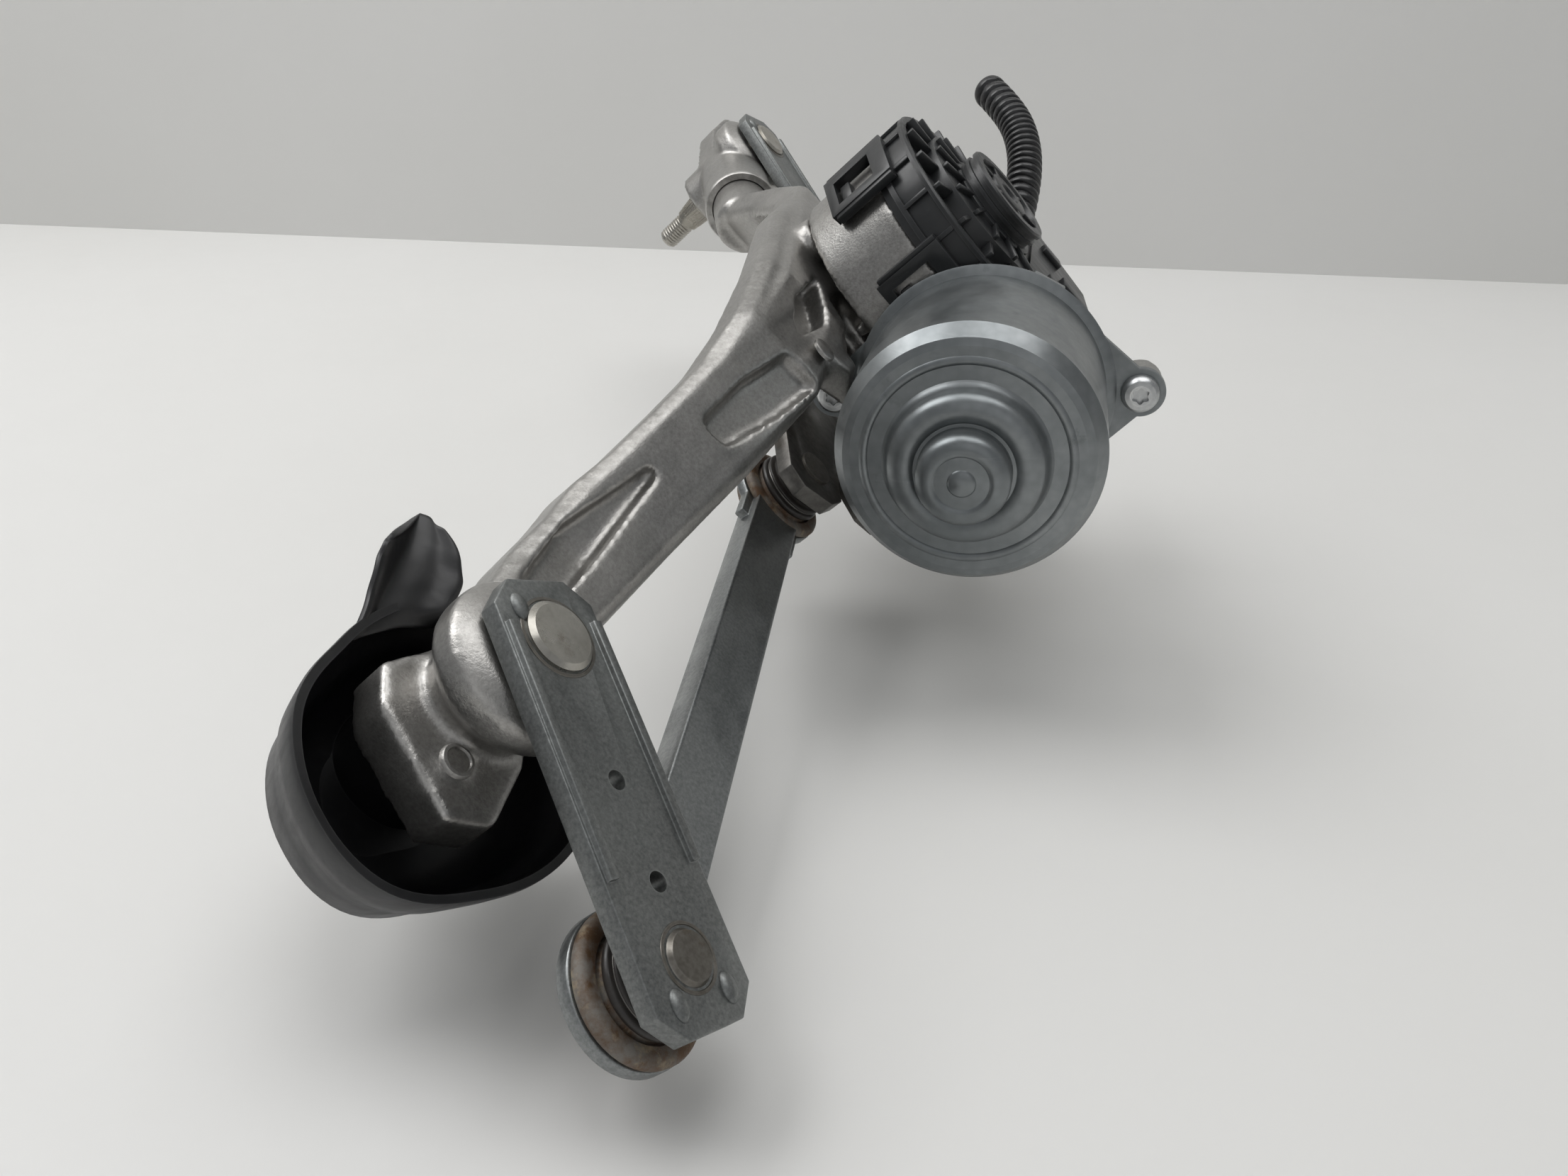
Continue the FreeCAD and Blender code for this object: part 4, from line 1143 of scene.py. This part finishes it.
@dataclass(frozen=True)
class CoverTrim:
    """Moulded details of the black cover."""

    lid_top: float = CASE_TOP + 11.0
    step_top: float = CASE_TOP + 15.0
    side_top: float = CASE_TOP + 16.0
    block_top: float = CASE_TOP + 14.0
    drum_r: float = 14.0
    drum_high: float = 6.8

    def build(self, finishes: Finishes) -> None:
        """Make the drum, the ribs, the latch hooks and the connector's frame.

        Args:
            finishes: Finishes of the part.
        """
        here = Matrix.Translation((SHAFT.x, SHAFT.y, 0))
        self.drum(here, finishes)
        bm = bmesh.new()
        edge = CASE_R + 1.0
        revolve(bm, [(edge - 1.5, self.lid_top - 0.3), (edge + 0.9, self.lid_top - 0.3),
                     (edge + 0.9, self.lid_top + 0.7), (edge + 0.4, self.lid_top + 1.2),
                     (edge - 1.0, self.lid_top + 1.2), (edge - 1.5, self.lid_top + 0.7)], 96, here)
        revolve(bm, [(edge - 0.3, CASE_TOP + 2.0), (edge + 0.8, CASE_TOP + 2.1), (edge + 0.8, CASE_TOP + 3.6),
                     (edge - 0.3, CASE_TOP + 3.8)], 96, here)
        add_piece("cover_rings", bm, finishes.plastic, Body.FRAME)
        bm = bmesh.new()
        for deg in range(70, 330, 20):
            turn = Matrix.Rotation(math.radians(deg), 4, "Z")
            block(bm, (8.0, 1.2, 3.4), here @ turn @ Matrix.Translation((28.9, 0, self.lid_top + 1.4)), 0.25)
            block(bm, (9.5, 1.2, 1.8), here @ turn @ Matrix.Translation((19.4, 0, self.step_top + 0.6)), 0.25)
            block(bm, (1.6, 1.4, 7.4), here @ turn @ Matrix.Translation((edge + 0.2, 0, CASE_TOP + 7.0)), 0.3)
        for x, y, size in ((66, 163, 5.5), (75, 176, 6.5), (66, 190, 4.5)):
            pad = Matrix.Translation((x, y, self.side_top + 0.6))
            block(bm, (size * 1.7, size, 1.9), pad, 0.4)
        for x in (48.5, 54.0, 59.5, 65.0):
            block(bm, (1.2, 21.0, 1.6), Matrix.Translation((x, 202.0, self.block_top + 0.5)), 0.3)
        add_piece("cover_ribs", bm, finishes.plastic, Body.FRAME)
        bm = bmesh.new()
        for deg in (200, 262, 110):
            turn = Matrix.Rotation(math.radians(deg), 4, "Z")
            block(bm, (2.4, 6.4, 3.2), here @ turn @ Matrix.Translation((CASE_R + 1.1, 0, CASE_TOP - 8.6)), 0.5)
            for side in (-8.6, 8.6):
                block(bm, (2.6, 1.6, 19.0), here @ turn @ Matrix.Translation((CASE_R + 1.9, side, CASE_TOP - 3.6)), 0.4)
        add_piece("cover_latches", bm, finishes.plastic, Body.FRAME)

    def drum(self, here: Matrix, finishes: Finishes) -> None:
        """Round drum over the wheel, with its grooves and centre boss.

        Args:
            here: Place of the output shaft.
            finishes: Finishes of the part.
        """
        bm = bmesh.new()
        low = self.step_top - 0.1
        high = self.step_top + self.drum_high
        r = self.drum_r
        revolve(bm, [(0.0, low), (r + 1.8, low), (r + 1.8, low + 1.0), (r + 1.2, low + 1.5), (r, low + 1.6),
                     (r, low + 3.0), (r + 0.8, low + 3.1), (r + 0.8, low + 4.0), (r, low + 4.2), (r, high - 1.5),
                     (r + 0.7, high - 1.4), (r + 0.7, high - 0.5), (r + 0.2, high), (r - 2.2, high),
                     (r - 2.5, high - 1.2), (7.2, high - 1.2), (6.9, high - 0.2), (6.4, high), (3.6, high),
                     (3.2, high - 0.8), (0.0, high - 0.8)], 80, here, closed=False)
        for n in range(6):
            turn = Matrix.Rotation(n * math.tau / 6, 4, "Z")
            block(bm, (4.6, 1.1, 1.2), here @ turn @ Matrix.Translation((9.4, 0, high - 0.9)), 0.2)
        add_piece("cover_drum", bm, finishes.plastic, Body.FRAME)


@dataclass(frozen=True)
class RainCup:
    """Rubber cup round the near spindle, with its curled pull tongue."""

    wall: float = 1.7
    outline: tuple[tuple[float, float], ...] = (
        (-180.0, 26.0), (-165.0, 28.0), (-138.0, 35.0), (-112.0, 40.0), (-88.0, 42.0), (-60.0, 37.0),
        (-25.0, 34.0), (10.0, 33.0), (50.0, 31.0), (90.0, 29.0), (120.0, 27.0), (155.0, 25.0), (180.0, 26.0))
    steps: int = 120

    def reach(self, deg: float) -> float:
        """Radius of the outline at an angle.

        Args:
            deg: Angle between -180 and 180.

        Returns:
            The radius.
        """
        ring = self.outline[:-1]
        count = len(ring)
        full = [(ring[n % count][0] + 360.0 * (n // count), ring[n % count][1]) for n in range(-1, count + 2)]
        for before, first, second, after in zip(full, full[1:], full[2:], full[3:]):
            if first[0] <= deg <= second[0]:
                span = second[0] - first[0]
                share = (deg - first[0]) / span
                leave = (second[1] - before[1]) / (second[0] - before[0]) * span
                arrive = (after[1] - first[1]) / (after[0] - first[0]) * span
                square, cube = share ** 2, share ** 3
                return (first[1] * (2 * cube - 3 * square + 1) + leave * (cube - 2 * square + share)
                        + second[1] * (3 * square - 2 * cube) + arrive * (cube - square))
        return ring[0][1]

    def build(self, finishes: Finishes) -> None:
        """Make the bowl, its lip and the tongue.

        Args:
            finishes: Finishes of the part.
        """
        rings = ((0.0, -25.0), (0.1, -26.2), (-0.9, -30.5), (-1.6, -33.0), (-3.1, -34.4), (-3.9, -38.0),
                 (-5.2, -43.0), (-8.4, -46.8), (-13.5, -49.0), (-20.0, -49.8))
        bm = bmesh.new()
        first = bmesh.ops.create_circle(bm, segments=self.steps, radius=30.0)["verts"]
        self.shape_ring(first, *rings[0])
        edges = list(bm.edges)
        for grow, level in rings[1:]:
            made = bmesh.ops.extrude_edge_only(bm, edges=edges)["geom"]
            edges = [g for g in made if isinstance(g, bmesh.types.BMEdge)
                     and all(abs(v.co.z - g.verts[0].co.z) < 1e-6 for v in g.verts)
                     and all(v in made for v in g.verts)]
            self.shape_ring([g for g in made if isinstance(g, bmesh.types.BMVert)], grow, level)
        bmesh.ops.recalc_face_normals(bm, faces=bm.faces)
        bmesh.ops.solidify(bm, geom=bm.faces[:], thickness=self.wall)
        place = Matrix.Identity(4)
        revolve(bm, [(9.6, -49.9), (22.5, -49.9), (22.5, -48.3), (13.4, -47.8), (12.9, -33.0), (12.1, -32.0),
                     (11.2, -33.0), (11.0, -47.5), (9.6, -48.2)], 72, place)
        add_piece("rain_cup_bowl", bm, finishes.cup, Body.FRAME, ("rain_cup",), sharp=50.0)
        self.tongue(finishes)

    def shape_ring(self, verts: list[bmesh.types.BMVert], grow: float, level: float) -> None:
        """Give a ring the cup's outline at a level.

        Args:
            verts: Vertices of the ring.
            grow: Distance outwards from the outline.
            level: Height along the spindle.
        """
        for vert in verts:
            deg = math.degrees(math.atan2(vert.co.y, vert.co.x))
            radius = max(self.reach(deg) + grow, 12.0)
            wobble = noise.noise(Vector((vert.co.x, vert.co.y, level)) * 0.05) * 0.25
            flat = Vector((vert.co.x, vert.co.y, 0.0)).normalized() * (radius + wobble)
            vert.co = Vector((flat.x, flat.y, level))

    def tongue(self, finishes: Finishes) -> None:
        """Make the tongue, a curled strip.

        Args:
            finishes: Finishes of the part.
        """
        rows = (((-24.5, -1, -28), (-23.5, 1, -28), (-19, 9, -28), (-13, 16, -28)),
                ((-27, 8, -25), (-24, 10, -27), (-18.5, 17, -26), (-11.5, 20, -24)),
                ((-30.5, 14.5, -21.5), (-25, 21, -26), (-19, 24.5, -24.5), (-12.5, 26, -22)),
                ((-31.5, 17.5, -19.5), (-27, 32, -25), (-22, 32, -23), (-16.5, 30.5, -20.5)),
                ((-31, 19.5, -18.5), (-28.2, 37, -24.5), (-25, 36.6, -23), (-21.5, 34.5, -21)))
        bm = bmesh.new()
        made = bmesh.ops.create_grid(bm, x_segments=3, y_segments=4, size=1.0)["verts"]
        for vert in made:
            row = round((vert.co.y + 1.0) * 2.0)
            column = round((vert.co.x + 1.0) * 1.5)
            vert.co = Vector(rows[row][column])
        bmesh.ops.subdivide_edges(bm, edges=bm.edges[:], cuts=3, smooth=1.0, use_grid_fill=True)
        bmesh.ops.smooth_vert(bm, verts=bm.verts[:], factor=0.5, use_axis_x=True, use_axis_y=True, use_axis_z=True)
        bmesh.ops.recalc_face_normals(bm, faces=bm.faces)
        bmesh.ops.solidify(bm, geom=bm.faces[:], thickness=1.5)
        piece = add_piece("rain_cup_tongue", bm, finishes.cup, Body.FRAME, sharp=70.0)
        rounded = piece.modifiers.new("rounded", "SUBSURF")
        rounded.levels = 1
        rounded.render_levels = 1


@dataclass(frozen=True)
class Conduit:
    """Ribbed conduit stub, cut off square, with its wire ends."""

    route: tuple[tuple[float, float, float], ...] = (
        (54.0, 203.5, 77.8), (51.0, 214.0, 84.0), (45.0, 230.0, 90.0), (38.0, 248.0, 91.0), (31.0, 264.0, 88.0))
    radius: float = 5.4
    valley: float = 4.5
    bore: float = 3.7
    ribs: int = 22
    sides: int = 36

    def build(self, finishes: Finishes) -> None:
        """Make the ribbed skin along the route and the wires in its bore.

        Args:
            finishes: Finishes of the part.
        """
        points = self.path()
        bm = bmesh.new()
        total = len(points) - 1
        profile: list[tuple[float, float]] = [(0.0, self.bore)]
        for n in range(self.ribs):
            for share, radius in ((0.02, self.valley), (0.22, self.valley), (0.34, self.radius - 0.15),
                                  (0.46, self.radius), (0.74, self.radius), (0.88, self.radius - 0.15)):
                profile.append(((n + share) / self.ribs, radius))
        profile += [(1.0, self.valley), (1.0, self.bore)]
        profile += [(1.0 - n / 24.0, self.bore) for n in range(1, 24)]
        rings: list[list[bmesh.types.BMVert]] = []
        for share, radius in profile:
            centre, heading = self.at(points, share * total)
            ring = bmesh.ops.create_circle(bm, segments=self.sides, radius=radius)["verts"]
            turn = heading.to_track_quat("Z", "X").to_matrix().to_4x4()
            bmesh.ops.transform(bm, matrix=Matrix.Translation(centre) @ turn, verts=ring)
            rings.append(ring)
        for first, second in zip(rings, rings[1:] + rings[:1]):
            loops = [e for ring in (first, second) for e in {e for v in ring for e in v.link_edges
                     if e.other_vert(v) in ring}]
            bmesh.ops.bridge_loops(bm, edges=loops)
        skin = add_piece("conduit_ribbed", bm, finishes.hose, Body.FRAME, ("conduit",), sharp=50.0)
        wires = self.wires(points, finishes)

    def path(self) -> list[Vector]:
        """Points of the route's smooth curve.

        Returns:
            Points in the linkage frame.
        """
        curve = bpy.data.curves.new("conduit_route", "CURVE")
        curve.dimensions = "3D"
        curve.resolution_u = 12
        spline = curve.splines.new("NURBS")
        spline.points.add(len(self.route) - 1)
        for point, place in zip(spline.points, self.route):
            point.co = (*place, 1.0)
        spline.order_u = 3
        spline.use_endpoint_u = True
        model = bpy.data.objects.new("conduit_route", curve)
        bpy.context.scene.collection.objects.link(model)
        line = settled(model)
        points = [vert.co.copy() for vert in line.vertices]
        bpy.data.objects.remove(model)
        return points

    @staticmethod
    def run(points: list[Vector]) -> float:
        """Length along the points.

        Args:
            points: Points of the curve.

        Returns:
            The length.
        """
        return sum((second - first).length for first, second in zip(points, points[1:]))

    @staticmethod
    def at(points: list[Vector], place: float) -> tuple[Vector, Vector]:
        """Centre and heading at a place along the points.

        Args:
            points: Points of the curve.
            place: Fractional index.

        Returns:
            Centre and unit heading.
        """
        n = min(int(place), len(points) - 2)
        first, second = points[n], points[n + 1]
        before = points[max(n - 1, 0)]
        after = points[min(n + 2, len(points) - 1)]
        share = place - n
        heading = (second - before).lerp(after - first, share)
        return first.lerp(second, share), heading.normalized()

    def wires(self, points: list[Vector], finishes: Finishes) -> list[bpy.types.Object]:
        """Cut wire ends that show at the mouth.

        Args:
            points: Points of the curve.
            finishes: Finishes of the part.

        Returns:
            The wires.
        """
        centre, heading = self.at(points, len(points) - 1.0)
        turn = heading.to_track_quat("Z", "X").to_matrix().to_4x4()
        made = []
        table = ((0.9, 1.5, 1.05, 1.6, finishes.wire_white), (-1.6, 0.4, 1.05, 1.0, finishes.wire_brown),
                 (0.6, -1.6, 1.05, 0.5, finishes.plastic), (-0.6, 2.2, 0.75, 1.3, finishes.wire_brown),
                 (2.2, -0.2, 0.8, 1.1, finishes.wire_white))
        for n, (x, y, radius, out, finish) in enumerate(table):
            bm = bmesh.new()
            core = radius * 0.55
            place = Matrix.Translation(centre) @ turn @ Matrix.Translation((x, y, out))
            revolve(bm, [(0.0, -9.0), (radius, -9.0), (radius, -0.15), (radius - 0.15, 0.0), (core, 0.0),
                         (core, 0.5), (0.0, 0.55)], 20, place, closed=False)
            made.append(add_piece(f"wire_end_{n}", bm, finish, Body.FRAME))
        return made


class Linkage:
    """Whole dressed part."""

    def __init__(self, finishes: Finishes) -> None:
        """Keep the finishes.

        Args:
            finishes: Finishes of the part.
        """
        self.finishes = finishes

    def paint_nodes(self) -> None:
        """Give every CAD node its material."""
        for node, material in self.finishes.nodes().items():
            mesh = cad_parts[node].data
            mesh.materials.clear()
            mesh.materials.append(material)
            mesh.polygons.foreach_set("material_index", [0] * len(mesh.polygons))

    def build(self) -> None:
        """Make every piece."""
        f = self.finishes
        self.paint_nodes()
        Conduit().build(f)
        forms = BracketForms()
        CastSkin("cast_bracket", 0.00095, 5, forms.grown(), forms.carved()).build(f.alloy, Body.FRAME, Slot.ALLOY)
        forms.trim(f)
        CastSkin("far_housing", 0.0008, 4).build(f.alloy, Body.FRAME, Slot.ALLOY)
        CastSkin("gear_case", 0.0009, 4).build(f.alloy, Body.FRAME, Slot.ALLOY)
        for node, material, body, slot in (
                ("near_lever", f.zinc, Body.NEAR_ARM, Slot.ZINC), ("far_lever", f.zinc, Body.FAR_ARM, Slot.ZINC),
                ("near_link", f.channel, Body.NEAR_ROD, Slot.ZINC), ("far_link", f.channel, Body.FAR_ROD, Slot.ZINC),
                ("crank_plate", f.crank, Body.CRANK, Slot.STEEL), ("case_cover", f.plastic, Body.FRAME, Slot.PLASTIC),
                ("cover_clips", f.plastic, Body.FRAME, Slot.PLASTIC), ("crank_nut", f.screw, Body.CRANK, Slot.STEEL)):
            EdgedCopy(node).build(material, body, slot)
        near = polar(Vector((0, 0, 0)), LEVER, NEAR_DEG, 0)
        far = polar(Vector((0, FAR_Y, 0)), LEVER, FAR_DEG, 0)
        crank_near = polar(SHAFT, CRANK, CRANK_NEAR_DEG, 0)
        crank_far = polar(SHAFT, CRANK, CRANK_FAR_DEG, 0)
        BallJoint("near_link", near, LOW_BALL, True, 10.7, Body.NEAR_ROD, True).build(f)
        BallJoint("near_crank", crank_near, LOW_BALL, True, 10.7, Body.NEAR_ROD, True).build(f)
        BallJoint("far_link", far, HIGH_BALL, False, 10.7, Body.FAR_ROD, False).build(f)
        BallJoint("far_crank", crank_far, HIGH_BALL, False, 9.7, Body.FAR_ROD, False).build(f)
        Lever("near_lever", 0.0, NEAR_DEG, Body.NEAR_ARM).build(f)
        Lever("far_lever", FAR_Y, FAR_DEG, Body.FAR_ARM).build(f)
        SpindleEnd("near_spindle", 0.0, Body.NEAR_ARM).build(f)
        SpindleEnd("far_spindle", FAR_Y, Body.FAR_ARM).build(f)
        MotorTrim().build(f)
        CoverTrim().build(f)
        RainCup().build(f)


def main() -> None:
    """Build the scene in order and report each piece."""
    logging.basicConfig(level=logging.INFO, format="%(message)s")
    Studio(bench=CAD_BOX[0][2] - 0.0002).build()
    Linkage(Finishes()).build()


if __name__ == "__main__":
    main()
